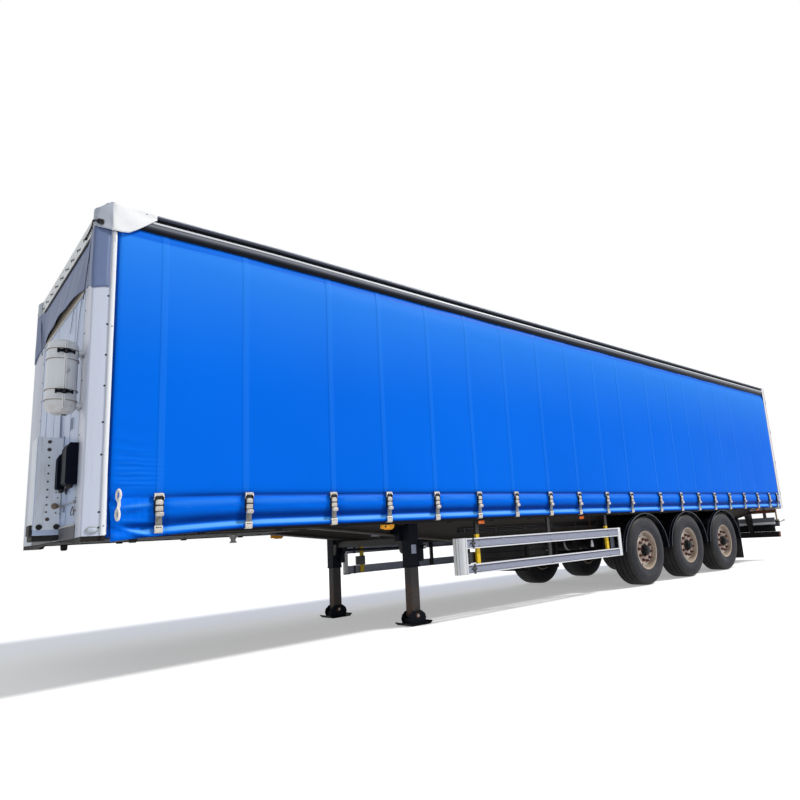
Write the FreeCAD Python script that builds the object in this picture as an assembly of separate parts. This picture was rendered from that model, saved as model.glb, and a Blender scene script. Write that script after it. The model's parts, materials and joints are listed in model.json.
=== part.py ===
import FreeCAD, Part
import math
import os

from FreeCAD import Vector

# Three-axle curtain-sided semi trailer, parked on its landing legs.
# Millimetres. +X points forwards (towards the towing vehicle), +Y to the left, +Z up.
# The ground is z = 0 and the origin is below the middle of the outline.
# Lengths along the vehicle are stations: distances behind the front wall's outer face.

os.makedirs("parts", exist_ok=True)

# Overall
BODY_LENGTH = 13720
BODY_WIDTH = 2550
FLOOR_TOP = 1230
FLOOR_THICKNESS = 28
RAIL_TOP = 3860
REAR_REACH = 85

# Wheels and axles
TYRE_RADIUS = 536
TYRE_WIDTH = 385
BEAD_RADIUS = 286
RIM_FLANGE_RADIUS = 302
RIM_SHELL = 10
WHEEL_INSET = 211
AXLE_SPACING = 1410
AXLE_TO_REAR = 4470
AXLE_TUBE_RADIUS = 63.5
SPINDLE_RADIUS = 40
HUB_RADIUS = 95
BEARING_CLEARANCE = 0.1
BRAKE_DRUM_RADIUS = 205
SPRING_REACH = 380

# Chassis
BEAM_HALF_SPACING = 600
BEAM_WEB = 8
BEAM_FLANGE_WIDTH = 140
BEAM_FLANGE = 14
BEAM_BOTTOM = 880
NECK_BOTTOM = 1115
NECK_END = 2250
NECK_SLOPE_END = 4250
CROSS_HEIGHT = 82
CROSS_WIDTH = 50
CROSS_WALL = 6
CROSS_COUNT = 22
OUTER_RAIL_BOTTOM = 1110
OUTER_RAIL_INSET = 21
OUTER_RAIL_WALL = 8

# Coupling
COUPLER_PLATE = 8
COUPLER_START = 60
COUPLER_LIP = 14
COUPLER_LENGTH = 2090
KINGPIN_STATION = 1650
KINGPIN_COLLAR_RADIUS = 36.5
KINGPIN_NECK_RADIUS = 25.4
KINGPIN_HEAD_RADIUS = 35.7

# Front wall
POST_FRONT_WIDTH = 354
POST_SIDE_DEPTH = 100
POST_WALL = 40
POST_CORNER_RADIUS = 23
POST_INSET = 13
FRONT_WALL_THICKNESS = 30
FRONT_WALL_TOP = 3590
FRONT_SILL_BOTTOM = 1078
FRONT_SILL_HEIGHT = 40
FRONT_HEADER_TOP = 3750

# Console, connector box and extinguisher case on the front wall
CONSOLE_LEFT_FACE = 350
CONSOLE_WIDTH = 250
CONSOLE_DEPTH = 192
CONSOLE_BOTTOM = 1212
CONSOLE_TOP = 2000
CONNECTOR_BOTTOM = 1540
CONNECTOR_TOP = 1870
CONNECTOR_REACH = 85
CASE_RADIUS = 118
CASE_WALL = 6
CASE_CENTRE_Y = 905
CASE_BOTTOM = 2110
CASE_HEIGHT = 630
CASE_STANDOFF = 20
CASE_PIN_RADIUS = 4
CASE_KNUCKLE_RADIUS = 9
SEAT_GAP = 0.3

# Curtains, roof and load space
CURTAIN_THICKNESS = 8
CURTAIN_INSET = 5
CURTAIN_BOTTOM = 1135
CURTAIN_FRONT = 135
ROOF_RAIL_BOTTOM = 3662
ROOF_RAIL_WIDTH = 76
ROOF_RAIL_WALL = 7
BOW_COUNT = 20
ROOF_SHEET = 6
SIDE_POST_COUNT = 3

# Rear portal and doors
REAR_POST_WIDTH = 105
REAR_POST_DEPTH = 100
REAR_HEADER_HEIGHT = 140
DOOR_THICKNESS = 30
DOOR_EDGE_GAP = 7
DOOR_MEETING_GAP = 12
HINGE_BARREL_RADIUS = 14
HINGE_PIN_RADIUS = 7.5
HINGE_COUNT = 4
LOCK_BAR_RADIUS = 13.5

# Lamps
MARKER_DEPTH = 24
MARKER_HEIGHT = 42

# Landing gear
LEG_STATION = 3390
LEG_HALF_SPACING = 820
LEG_TUBE = 135
LEG_TUBE_WALL = 8
LEG_TUBE_BOTTOM = 633
LEG_HEAD_HALF = 110
LEG_HEAD_TOP = 1100
LEG_HEAD_BOTTOM = 930
FOOT_LENGTH = 330
FOOT_WIDTH = 270
FOOT_THICKNESS = 14

# Side guards
GUARD_INSET = 20
GUARD_RAIL_WALL = 30
GUARD_LOW_BOTTOM = 505
GUARD_LOW_HEIGHT = 110
GUARD_HIGH_BOTTOM = 790
GUARD_HIGH_HEIGHT = 120
GUARD_START = 3862
GUARD_TO_AXLE = 780
GUARD_CAP_RADIUS = 130

# Mudguards
MUDGUARD_END_CLEARANCE = 104
MUDGUARD_CLEARANCE = 36
MUDGUARD_SHELL = 6
MUDGUARD_WIDTH = 425
MUDGUARD_INSET = 15
MUDGUARD_STAY_RADIUS = 16
MUDGUARD_STAY_REACH = 150
FLAP_TOP = 930
FLAP_BOTTOM = 170
FLAP_THICKNESS = 8

# Spare wheel and tanks
SPARE_TO_AXLE = 1840
SPARE_BOTTOM = 440
TANK_RADIUS = 120
TANK_LENGTH = 760
TANK_TO_AXLE = 660
TANK_PITCH = 320

# Rear end
UNDERRUN_INSET = 85
UNDERRUN_TO_REAR = 120
UNDERRUN_BOTTOM = 470
UNDERRUN_HEIGHT = 120
UNDERRUN_DEPTH = 100
CARRIER_DEPTH = 40
CARRIER_INSET = 95
CARRIER_BOTTOM = 720
CARRIER_HEIGHT = 70
LAMP_WIDTH = 350
LAMP_DEPTH = 60
BUMPER_INSET = 145
BUMPER_WIDTH = 120
TAIL_LENGTH = 1290
TAIL_RISE = 130

# Derived places
FRONT_REACH = CASE_STANDOFF + 2 * CASE_RADIUS
FRONT_X = (BODY_LENGTH + REAR_REACH - FRONT_REACH) / 2
HALF_WIDTH = BODY_WIDTH / 2
FLOOR_BOTTOM = FLOOR_TOP - FLOOR_THICKNESS
AXLE_Z = TYRE_RADIUS
AXLE_STATIONS = [BODY_LENGTH - AXLE_TO_REAR + (i - 1) * AXLE_SPACING for i in range(3)]
REAR_FACE = BODY_LENGTH
REAR_INNER = REAR_FACE - REAR_POST_DEPTH
DOOR_OPENING = HALF_WIDTH - 5 - REAR_POST_WIDTH
HINGE_STATION = REAR_FACE + 32
HINGE_Y = HALF_WIDTH - HINGE_BARREL_RADIUS - 3
BEAM_OUTER_FLANGE = BEAM_HALF_SPACING + BEAM_FLANGE_WIDTH / 2
BEAM_INNER_FLANGE = BEAM_HALF_SPACING - BEAM_FLANGE_WIDTH / 2
OUTER_RAIL_FACE = HALF_WIDTH - OUTER_RAIL_INSET
SHELF_Y = OUTER_RAIL_FACE - 64
POST_FACE = HALF_WIDTH - POST_INSET
CURTAIN_FACE = HALF_WIDTH - CURTAIN_INSET
GUARD_FACE = HALF_WIDTH - GUARD_INSET
GUARD_END = AXLE_STATIONS[0] - GUARD_TO_AXLE
WHEEL_CENTRE_Y = HALF_WIDTH - WHEEL_INSET
MUDGUARD_OUTER_Y = HALF_WIDTH - MUDGUARD_INSET
MUDGUARD_INNER_Y = MUDGUARD_OUTER_Y - MUDGUARD_WIDTH
MUDGUARD_HALF_LENGTH = TYRE_RADIUS + MUDGUARD_END_CLEARANCE
MUDGUARD_HEIGHT = TYRE_RADIUS + MUDGUARD_CLEARANCE
SPARE_STATION = AXLE_STATIONS[0] - SPARE_TO_AXLE
CARRIER_STATION = REAR_FACE - UNDERRUN_TO_REAR
INNER_LEG = LEG_TUBE - 2 * (LEG_TUBE_WALL + SEAT_GAP)


def at(station):
    """X of a station behind the front wall."""
    return FRONT_X - station


def block(s0, s1, y0, y1, z0, z1):
    """Box between two stations, two Y values and two heights."""
    return Part.makeBox(abs(s1 - s0), y1 - y0, z1 - z0, Vector(at(max(s0, s1)), y0, z0))


def rod(start, end, radius):
    """Round bar between two points."""
    direction = end.sub(start)
    return Part.makeCylinder(radius, direction.Length, start, direction)


def prism(points, direction):
    """Closed outline pushed along a direction."""
    wire = Part.makePolygon([Vector(*p) for p in points] + [Vector(*points[0])])
    return Part.Face(wire).extrude(Vector(*direction))


def side_profile(points, y0, y1):
    """Outline drawn in stations and heights, pushed across the vehicle."""
    return prism([(at(s), y0, z) for s, z in points], (0, y1 - y0, 0))


def plan_profile(points, z0, z1):
    """Outline drawn in stations and Y, pushed upwards."""
    return prism([(at(s), y, z0) for s, y in points], (0, 0, z1 - z0))


def section(points, s0, s1):
    """Outline drawn in Y and heights, pushed along the vehicle."""
    return prism([(at(s1), y, z) for y, z in points], (s1 - s0, 0, 0))


def turned(points, centre, axis):
    """Revolve an outline of (along, radius) pairs about an axis through a centre."""
    along = Vector(*axis)
    across = Vector(0, 0, 1) if abs(along.z) < 0.5 else Vector(1, 0, 0)
    corners = [centre.add(along * a).add(across * r) for a, r in points]
    wire = Part.makePolygon(corners + [corners[0]])
    return Part.Face(wire).revolve(centre, along, 360)


def mirrored(shape):
    """The same piece on the other side of the vehicle."""
    return shape.mirror(Vector(0, 0, 0), Vector(0, 1, 0))


def both_sides(shape):
    return [shape, mirrored(shape)]


def merged(shapes):
    result = shapes[0].fuse(shapes[1:]) if len(shapes) > 1 else shapes[0]
    return result.removeSplitter()


def save(name, shapes):
    shape = shapes if not isinstance(shapes, list) else Part.makeCompound(shapes)
    shape.exportStep("parts/" + name + ".step")


def beam_lower_line():
    """Lower edge of a main beam: shallow neck, sloped throat, deep rear part, raised tail."""
    return [(60, NECK_BOTTOM), (NECK_END, NECK_BOTTOM), (NECK_SLOPE_END, BEAM_BOTTOM),
            (REAR_INNER - 30 - TAIL_LENGTH, BEAM_BOTTOM), (REAR_INNER - 30, BEAM_BOTTOM + TAIL_RISE)]


def beam_bottom(station):
    """Height of the main beam's lower edge at a station."""
    line = beam_lower_line()
    for (s0, z0), (s1, z1) in zip(line, line[1:]):
        if station <= s1:
            return z0 + (z1 - z0) * (station - s0) / (s1 - s0)


def main_beams():
    """Welded I-beams, each in four lengths butted end to end: neck, throat, rear part and tail."""
    web_top = FLOOR_BOTTOM - BEAM_FLANGE
    web_y = BEAM_HALF_SPACING - BEAM_WEB / 2
    line = beam_lower_line()
    lengths = []
    for (s0, z0), (s1, z1) in zip(line, line[1:]):
        web = side_profile([(s0, web_top), (s0, z0), (s1, z1), (s1, web_top)], web_y, web_y + BEAM_WEB)
        top = block(s0, s1, BEAM_INNER_FLANGE, BEAM_OUTER_FLANGE, web_top, FLOOR_BOTTOM)
        bottom = side_profile([(s0, z0), (s1, z1), (s1, z1 + BEAM_FLANGE), (s0, z0 + BEAM_FLANGE)],
                              BEAM_INNER_FLANGE, BEAM_OUTER_FLANGE)
        lengths += both_sides(merged([web, top, bottom]))
    save("main_beams", lengths)


def cross_stations():
    first, last = 130, REAR_INNER - 140
    pitch = (last - first) / (CROSS_COUNT - 1)
    return [first + i * pitch for i in range(CROSS_COUNT)]


def cross_members():
    """Channels between the main beams and tapered outriggers out to the side rails."""
    pieces = []
    top, low = FLOOR_BOTTOM, FLOOR_BOTTOM - CROSS_HEIGHT
    under_flange = top - BEAM_FLANGE
    web_in = BEAM_HALF_SPACING - BEAM_WEB / 2
    web_out = BEAM_HALF_SPACING + BEAM_WEB / 2
    floor_low = max(low, NECK_BOTTOM + BEAM_FLANGE)
    for s in cross_stations():
        wall = [(-web_in, under_flange), (-web_in, floor_low), (web_in, floor_low), (web_in, under_flange),
                (BEAM_INNER_FLANGE, under_flange), (BEAM_INNER_FLANGE, top),
                (-BEAM_INNER_FLANGE, top), (-BEAM_INNER_FLANGE, under_flange)]
        web = section(wall, s, s + CROSS_WALL)
        cap = block(s, s + CROSS_WIDTH, -BEAM_INNER_FLANGE, BEAM_INNER_FLANGE, top - CROSS_WALL, top)
        foot = block(s, s + CROSS_WIDTH, -web_in, web_in, floor_low, floor_low + CROSS_WALL)
        pieces.append(merged([web, cap, foot]))
        shelf_low = top - CROSS_WALL
        gusset = [(web_out, under_flange), (BEAM_OUTER_FLANGE, under_flange), (BEAM_OUTER_FLANGE, top),
                  (SHELF_Y, top), (SHELF_Y, shelf_low),
                  (OUTER_RAIL_FACE - OUTER_RAIL_WALL, shelf_low),
                  (OUTER_RAIL_FACE - OUTER_RAIL_WALL, low + 20), (web_out, floor_low)]
        plate = section(gusset, s, s + CROSS_WALL)
        lip = block(s, s + CROSS_WIDTH, BEAM_OUTER_FLANGE, SHELF_Y, top - CROSS_WALL, top)
        pieces += both_sides(merged([plate, lip]))
    save("cross_members", pieces)


def side_rails():
    """Outer floor rails: a web with a shelf for the floor and a lower lip for the hooks."""
    face, wall = OUTER_RAIL_FACE, OUTER_RAIL_WALL
    shelf = FLOOR_BOTTOM - CROSS_WALL
    outline = [(face, OUTER_RAIL_BOTTOM), (face, FLOOR_TOP + 2), (face - wall, FLOOR_TOP + 2),
               (face - wall, FLOOR_BOTTOM), (SHELF_Y, FLOOR_BOTTOM), (SHELF_Y, shelf),
               (face - wall, shelf), (face - wall, OUTER_RAIL_BOTTOM + wall),
               (face - 40, OUTER_RAIL_BOTTOM + wall), (face - 40, OUTER_RAIL_BOTTOM)]
    save("side_rails", both_sides(section(outline, POST_SIDE_DEPTH, REAR_INNER)))


def coupler_plate():
    """Rubbing plate under the neck, with its front edge turned up."""
    bottom = NECK_BOTTOM - COUPLER_PLATE
    half = BEAM_OUTER_FLANGE - 10
    start, end = COUPLER_START, COUPLER_START + COUPLER_LENGTH
    flat = [(start, NECK_BOTTOM), (start - COUPLER_LIP, NECK_BOTTOM + COUPLER_LIP),
            (start - COUPLER_LIP - 6, NECK_BOTTOM + COUPLER_LIP - 6),
            (start - 3, bottom), (end, bottom), (end, NECK_BOTTOM)]
    plate = side_profile(flat, -half, half)
    seat = rod(Vector(at(KINGPIN_STATION), 0, bottom - 1), Vector(at(KINGPIN_STATION), 0, NECK_BOTTOM + 1),
               KINGPIN_COLLAR_RADIUS + 28)
    save("coupler_plate", plate.cut(seat))


def kingpin():
    """Flanged pin: flush flange in the plate, collar, neck and lower head."""
    under = NECK_BOTTOM - COUPLER_PLATE
    outline = [(under + COUPLER_PLATE + 12, 0), (under + COUPLER_PLATE + 12, KINGPIN_COLLAR_RADIUS + 60),
               (under + COUPLER_PLATE, KINGPIN_COLLAR_RADIUS + 60),
               (under + COUPLER_PLATE, KINGPIN_COLLAR_RADIUS + 28), (under, KINGPIN_COLLAR_RADIUS + 28),
               (under, KINGPIN_COLLAR_RADIUS), (under - 35, KINGPIN_COLLAR_RADIUS),
               (under - 40, KINGPIN_NECK_RADIUS), (under - 70, KINGPIN_NECK_RADIUS),
               (under - 70, KINGPIN_HEAD_RADIUS), (under - 84, KINGPIN_HEAD_RADIUS), (under - 84, 0)]
    save("kingpin", turned(outline, Vector(at(KINGPIN_STATION), 0, 0), (0, 0, 1)))


def load_floor():
    inner = OUTER_RAIL_FACE - OUTER_RAIL_WALL
    panel = block(POST_WALL, REAR_INNER, -inner, inner, FLOOR_BOTTOM, FLOOR_TOP)
    for side in (1, -1):
        y0, y1 = sorted((side * (POST_FACE - POST_WALL), side * (POST_FACE + 1)))
        panel = panel.cut(block(0, POST_SIDE_DEPTH, y0, y1, FLOOR_BOTTOM - 1, FLOOR_TOP + 1))
    save("load_floor", panel)


def post_inner_y():
    return POST_FACE - POST_CORNER_RADIUS - POST_FRONT_WIDTH


def front_wall():
    """Flat front wall of upright planks, with a shallow joint line at each edge."""
    half = post_inner_y()
    wall = block(0, FRONT_WALL_THICKNESS, -half, half, FRONT_SILL_BOTTOM + FRONT_SILL_HEIGHT, FRONT_WALL_TOP)
    joints = 5
    for i in range(1, joints + 1):
        y = -half + 2 * half * i / (joints + 1)
        wall = wall.cut(block(-1, 3, y - 3, y + 3, CONSOLE_TOP + 10, FRONT_WALL_TOP + 1))
    save("front_wall", wall)


def front_posts():
    """Corner posts: a wide front leaf and a short side leaf with a rounded corner."""
    inner, r = post_inner_y(), POST_CORNER_RADIUS
    z0, z1 = FRONT_SILL_BOTTOM + FRONT_SILL_HEIGHT, FRONT_WALL_TOP
    x0 = at(0)
    corner = Vector(x0 - r, POST_FACE - r, z0)
    mid = corner.add(Vector(math.sqrt(0.5) * r, math.sqrt(0.5) * r, 0))
    points = [Vector(x0, POST_FACE - r, z0), Vector(x0, inner, z0), Vector(x0 - POST_WALL, inner, z0),
              Vector(x0 - POST_WALL, POST_FACE - POST_WALL, z0),
              Vector(at(POST_SIDE_DEPTH), POST_FACE - POST_WALL, z0),
              Vector(at(POST_SIDE_DEPTH), POST_FACE, z0), Vector(x0 - r, POST_FACE, z0)]
    edges = [Part.makeLine(points[i], points[i + 1]) for i in range(len(points) - 1)]
    edges.append(Part.Arc(points[-1], mid, points[0]).toShape())
    post = Part.Face(Part.Wire(edges)).extrude(Vector(0, 0, z1 - z0))
    save("front_posts", both_sides(post))


def front_frame():
    """Lower sill and upper header of the front wall, both box sections."""
    sill = block(0, POST_SIDE_DEPTH, -POST_FACE, POST_FACE, FRONT_SILL_BOTTOM,
                 FRONT_SILL_BOTTOM + FRONT_SILL_HEIGHT)
    corner = block(POST_WALL, POST_SIDE_DEPTH + 1, -post_inner_y(), post_inner_y(), FRONT_SILL_BOTTOM + 8,
                   FRONT_SILL_BOTTOM + FRONT_SILL_HEIGHT + 1)
    header = block(0, POST_SIDE_DEPTH, -POST_FACE, POST_FACE, FRONT_WALL_TOP, FRONT_HEADER_TOP)
    hollow = block(8, POST_SIDE_DEPTH + 1, -POST_FACE + 30, POST_FACE - 30, FRONT_WALL_TOP + 8,
                   FRONT_HEADER_TOP - 8)
    save("front_frame", [sill.cut(corner), header.cut(hollow)])


def front_tarp():
    """Loose sheet below the header: straight at the top and bellied at its lower edge."""
    def slice_at(z, sag, thickness):
        half = POST_FACE - 4
        x0 = at(0) + SEAT_GAP
        outer = Part.Arc(Vector(x0 + thickness, half, z), Vector(x0 + sag + thickness, 0, z),
                         Vector(x0 + thickness, -half, z)).toShape()
        inner = Part.Arc(Vector(x0, -half, z), Vector(x0 + sag, 0, z), Vector(x0, half, z)).toShape()
        ends = [Part.makeLine(Vector(x0 + thickness, -half, z), Vector(x0, -half, z)),
                Part.makeLine(Vector(x0, half, z), Vector(x0 + thickness, half, z))]
        return Part.Wire([outer, ends[0], inner, ends[1]])
    sheet = Part.makeLoft([slice_at(3165, 96, 7), slice_at(FRONT_WALL_TOP - 2, 6, 7)], True, True)
    save("front_tarp", sheet)


def console():
    """Upright console on the front wall with a bolted side plate and two rubber buffers."""
    y1, y0 = CONSOLE_LEFT_FACE, CONSOLE_LEFT_FACE - CONSOLE_WIDTH
    body = side_profile([(0, CONSOLE_BOTTOM), (0, CONSOLE_TOP), (-CONSOLE_DEPTH, CONSOLE_TOP - 12),
                         (-CONSOLE_DEPTH, CONSOLE_BOTTOM)], y0, y1)
    hollow = block(-CONSOLE_DEPTH + 6, -6, y0 + 6, y1 - 6, CONSOLE_BOTTOM - 1, CONSOLE_TOP - 24)
    shell = body.cut(hollow)
    base = block(-CONSOLE_DEPTH, 0, y0, y1, CONSOLE_BOTTOM - 44, CONSOLE_BOTTOM)
    save("coupling_console", shell.fuse(base).removeSplitter())


def connector_box():
    """Two upright connector covers on the front wall, each open at its foot for the plugs."""
    boxes = []
    for low, high, reach, y0, y1 in ((CONNECTOR_BOTTOM, CONNECTOR_TOP, CONNECTOR_REACH, 765, 930),
                                     (CONNECTOR_BOTTOM - 15, CONNECTOR_TOP - 40, CONNECTOR_REACH - 10, 440, 520)):
        outline = [(0, low), (0, high), (-reach + 30, high), (-reach, high - 40), (-reach, low + 12), (-reach + 12, low)]
        boxes.append(side_profile(outline, y0, y1).cut(block(-reach + 20, -6, y0 + 8, y1 - 8, low - 10, low + 40)))
    save("connector_box", boxes)


def case_centre():
    return Vector(FRONT_X + CASE_STANDOFF + CASE_RADIUS, CASE_CENTRE_Y, CASE_BOTTOM)


def case_shell():
    """Upright tub with rounded ends, hollow inside."""
    r, h, t = CASE_RADIUS, CASE_HEIGHT, CASE_WALL
    outer = turned([(0, 0), (0, r - 34), (12, r - 12), (34, r), (h - 34, r), (h - 12, r - 12), (h, r - 34), (h, 0)],
                   case_centre(), (0, 0, 1))
    inner = turned([(t, 0), (t, r - 38), (14 + t, r - 12 - t), (36, r - t), (h - 36, r - t),
                    (h - 14 - t, r - 12 - t), (h - t, r - 38), (h - t, 0)], case_centre(), (0, 0, 1))
    return outer.cut(inner)


def case_hinge_line():
    """Foot of the lid's hinge axis, on the right-hand side of the case."""
    centre = case_centre()
    return Vector(centre.x + 3, centre.y - CASE_RADIUS - CASE_KNUCKLE_RADIUS - 3, CASE_BOTTOM)


def extinguisher_case():
    """Rear half of the case with its wall bracket and seam flange."""
    centre = case_centre()
    shell = case_shell()
    big = 2 * CASE_RADIUS
    rear = shell.common(Part.makeBox(big, 2 * big, CASE_HEIGHT + 4,
                                     Vector(centre.x - big, centre.y - big, CASE_BOTTOM - 2)))
    brackets = [Part.makeBox(CASE_STANDOFF + 14, 160, 46, Vector(FRONT_X, centre.y - 80, z))
                for z in (CASE_BOTTOM + 110, CASE_BOTTOM + CASE_HEIGHT - 156)]
    void = Part.makeCylinder(CASE_RADIUS - CASE_WALL, CASE_HEIGHT, centre)
    seam = Part.makeBox(8, 16, CASE_HEIGHT - 90, Vector(centre.x - 8, centre.y + CASE_RADIUS - 4, CASE_BOTTOM + 45))
    pin_line = case_hinge_line()
    knuckles = []
    for low, high in ((70, 150), (CASE_HEIGHT - 150, CASE_HEIGHT - 70)):
        knuckles.append(Part.makeCylinder(CASE_KNUCKLE_RADIUS, high - low, pin_line.add(Vector(0, 0, low))))
        knuckles.append(Part.makeBox(14, 22, high - low, Vector(pin_line.x - 20, pin_line.y, CASE_BOTTOM + low)))
    pin = Part.makeCylinder(CASE_PIN_RADIUS, CASE_HEIGHT - 140, pin_line.add(Vector(0, 0, 70)))
    save("extinguisher_case", merged([rear, seam, pin] + knuckles + [b.cut(void) for b in brackets]))


def extinguisher_lid():
    """Front half of the case, hinged on its right-hand edge."""
    centre = case_centre()
    gap = 6
    big = 2 * CASE_RADIUS
    front = case_shell().common(Part.makeBox(big, 2 * big, CASE_HEIGHT + 4,
                                             Vector(centre.x + gap, centre.y - big, CASE_BOTTOM - 2)))
    seam = Part.makeBox(8, 16, CASE_HEIGHT - 90,
                        Vector(centre.x + gap, centre.y + CASE_RADIUS - 4, CASE_BOTTOM + 45))
    pin_line = case_hinge_line()
    low, high = 156, CASE_HEIGHT - 156
    knuckle = Part.makeCylinder(CASE_KNUCKLE_RADIUS, high - low, pin_line.add(Vector(0, 0, low)))
    leaf = Part.makeBox(12, 22, high - low, Vector(pin_line.x + 3, pin_line.y, CASE_BOTTOM + low))
    bore = Part.makeCylinder(CASE_PIN_RADIUS + BEARING_CLEARANCE, high - low + 2, pin_line.add(Vector(0, 0, low - 1)))
    save("extinguisher_lid", merged([front, seam, knuckle, leaf]).cut(bore))


def roof_rails():
    """Hollow cant rails with a rounded outer shoulder and a runner lip for the curtain."""
    out, inn = HALF_WIDTH - 2, HALF_WIDTH - 2 - ROOF_RAIL_WIDTH
    low, top, w = ROOF_RAIL_BOTTOM, RAIL_TOP, ROOF_RAIL_WALL
    outer = [(inn, low + 40), (out - 16, low + 40), (out - 16, low + 12), (out - 6, low), (out, low),
             (out, top - 34), (out - 10, top - 10), (out - 34, top), (inn, top)]
    inner = [(inn + w, low + 40 + w), (out - w, low + 40 + w), (out - w, top - 36), (out - 15, top - 15),
             (out - 36, top - w), (inn + w, top - w)]
    s0, s1 = POST_SIDE_DEPTH, REAR_INNER
    rail = section(outer, s0, s1).cut(section(inner, s0 - 1, s1 + 1))
    save("roof_rails", both_sides(rail))


def bow_stations():
    first, last = 420, REAR_INNER - 260
    return [first + i * (last - first) / (BOW_COUNT - 1) for i in range(BOW_COUNT)]


def roof_bows():
    """Cross bars that carry the roof sheet, each with a runner block at both ends."""
    inner = HALF_WIDTH - 2 - ROOF_RAIL_WIDTH
    bows = []
    for s in bow_stations():
        bar = block(s - 18, s + 18, -inner, inner, RAIL_TOP - 48, RAIL_TOP)
        foot = block(s - 45, s + 45, inner - 46, inner, RAIL_TOP - 96, RAIL_TOP - 20)
        bows.append(merged([bar, foot, mirrored(foot)]))
    save("roof_bows", bows)


def roof_tarp():
    """Roof sheet over the bows, turned down over the front header."""
    z0, z1 = RAIL_TOP + SEAT_GAP, RAIL_TOP + SEAT_GAP + ROOF_SHEET
    front, drop = -SEAT_GAP, FRONT_WALL_TOP + 4
    outline = [(REAR_FACE - 10, z0), (REAR_FACE - 10, z1), (90, z1), (front - ROOF_SHEET, FRONT_HEADER_TOP + 4),
               (front - ROOF_SHEET, drop), (front, drop), (front, FRONT_HEADER_TOP + 2), (94, z0)]
    save("roof_tarp", side_profile(outline, -(HALF_WIDTH - 24), HALF_WIDTH - 24))


def curtains():
    """Side curtains as plain slabs, one on each side."""
    y0, y1 = CURTAIN_FACE - CURTAIN_THICKNESS, CURTAIN_FACE
    slab = block(CURTAIN_FRONT, REAR_INNER - SEAT_GAP, y0, y1, CURTAIN_BOTTOM, ROOF_RAIL_BOTTOM - 2)
    save("curtain_left", slab)
    save("curtain_right", mirrored(slab))


def side_posts():
    """Sliding posts behind the curtains, open channels with a foot and a head plate."""
    outer = OUTER_RAIL_FACE - OUTER_RAIL_WALL - 4
    inner = outer - 58
    posts = []
    for i in range(SIDE_POST_COUNT):
        s = BODY_LENGTH * (i + 1) / (SIDE_POST_COUNT + 1)
        outline = [(s - 60, outer), (s - 60, inner), (s + 60, inner), (s + 60, outer), (s + 52, outer),
                   (s + 52, inner + 8), (s - 52, inner + 8), (s - 52, outer)]
        post = plan_profile(outline, FLOOR_TOP, ROOF_RAIL_BOTTOM + 40)
        posts += both_sides(post)
    save("side_posts", posts)


def rear_frame():
    """Welded rear portal: two posts, header and sill, with the hinge lugs and their pins."""
    out = HALF_WIDTH - 5
    post = block(REAR_INNER, REAR_FACE, DOOR_OPENING, out, FRONT_SILL_BOTTOM, RAIL_TOP)
    header = block(REAR_INNER, REAR_FACE, -DOOR_OPENING, DOOR_OPENING, RAIL_TOP - REAR_HEADER_HEIGHT, RAIL_TOP)
    sill = block(REAR_INNER, REAR_FACE, -DOOR_OPENING, DOOR_OPENING, FRONT_SILL_BOTTOM, FLOOR_TOP - 5)
    lugs = []
    for z in hinge_heights():
        for low in (z - 63, z + 35):
            plate = block(REAR_FACE - 1, HINGE_STATION, HINGE_Y - 12, HINGE_Y + HINGE_BARREL_RADIUS, low, low + 28)
            knuckle = rod(Vector(at(HINGE_STATION), HINGE_Y, low), Vector(at(HINGE_STATION), HINGE_Y, low + 28),
                          HINGE_BARREL_RADIUS)
            lugs.append(merged([plate, knuckle]))
        lugs.append(rod(Vector(at(HINGE_STATION), HINGE_Y, z - 63), Vector(at(HINGE_STATION), HINGE_Y, z + 63),
                        HINGE_PIN_RADIUS))
    side = merged([post] + lugs)
    save("rear_frame", merged([side, mirrored(side), header, sill]))


def hinge_heights():
    low, high = FLOOR_TOP + 200, RAIL_TOP - REAR_HEADER_HEIGHT - 200
    return [low + i * (high - low) / (HINGE_COUNT - 1) for i in range(HINGE_COUNT)]


def door_panel():
    """Left rear door: framed panel with recessed fields and its hinge leaves."""
    y0, y1 = DOOR_MEETING_GAP / 2, DOOR_OPENING - DOOR_EDGE_GAP
    z0, z1 = FLOOR_TOP + 2, RAIL_TOP - REAR_HEADER_HEIGHT - DOOR_EDGE_GAP
    panel = block(REAR_FACE - DOOR_THICKNESS, REAR_FACE, y0, y1, z0, z1)
    fields = 3
    pitch = (z1 - z0 - 80) / fields
    for i in range(fields):
        low = z0 + 80 + i * pitch
        panel = panel.cut(block(REAR_FACE - 7, REAR_FACE + 1, y0 + 70, y1 - 70, low, low + pitch - 80))
    leaves = []
    for z in hinge_heights():
        leaf = block(REAR_FACE, REAR_FACE + 16, y1 - 150, y1 - 1, z - 28, z + 28)
        arm = plan_profile([(REAR_FACE + 8, y1 - 6), (REAR_FACE + 16, y1 - 6), (REAR_FACE + 16, HINGE_Y - 42),
                            (HINGE_STATION + 11, HINGE_Y - 6), (HINGE_STATION - 6, HINGE_Y - 10),
                            (REAR_FACE + 8, HINGE_Y - 36)], z - 28, z + 28)
        barrel = rod(Vector(at(HINGE_STATION), HINGE_Y, z - 28), Vector(at(HINGE_STATION), HINGE_Y, z + 28),
                     HINGE_BARREL_RADIUS)
        bore = rod(Vector(at(HINGE_STATION), HINGE_Y, z - 30), Vector(at(HINGE_STATION), HINGE_Y, z + 30),
                   HINGE_PIN_RADIUS + 0.5)
        leaves.append(merged([leaf, arm, barrel]).cut(bore))
    return merged([panel] + leaves)


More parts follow.
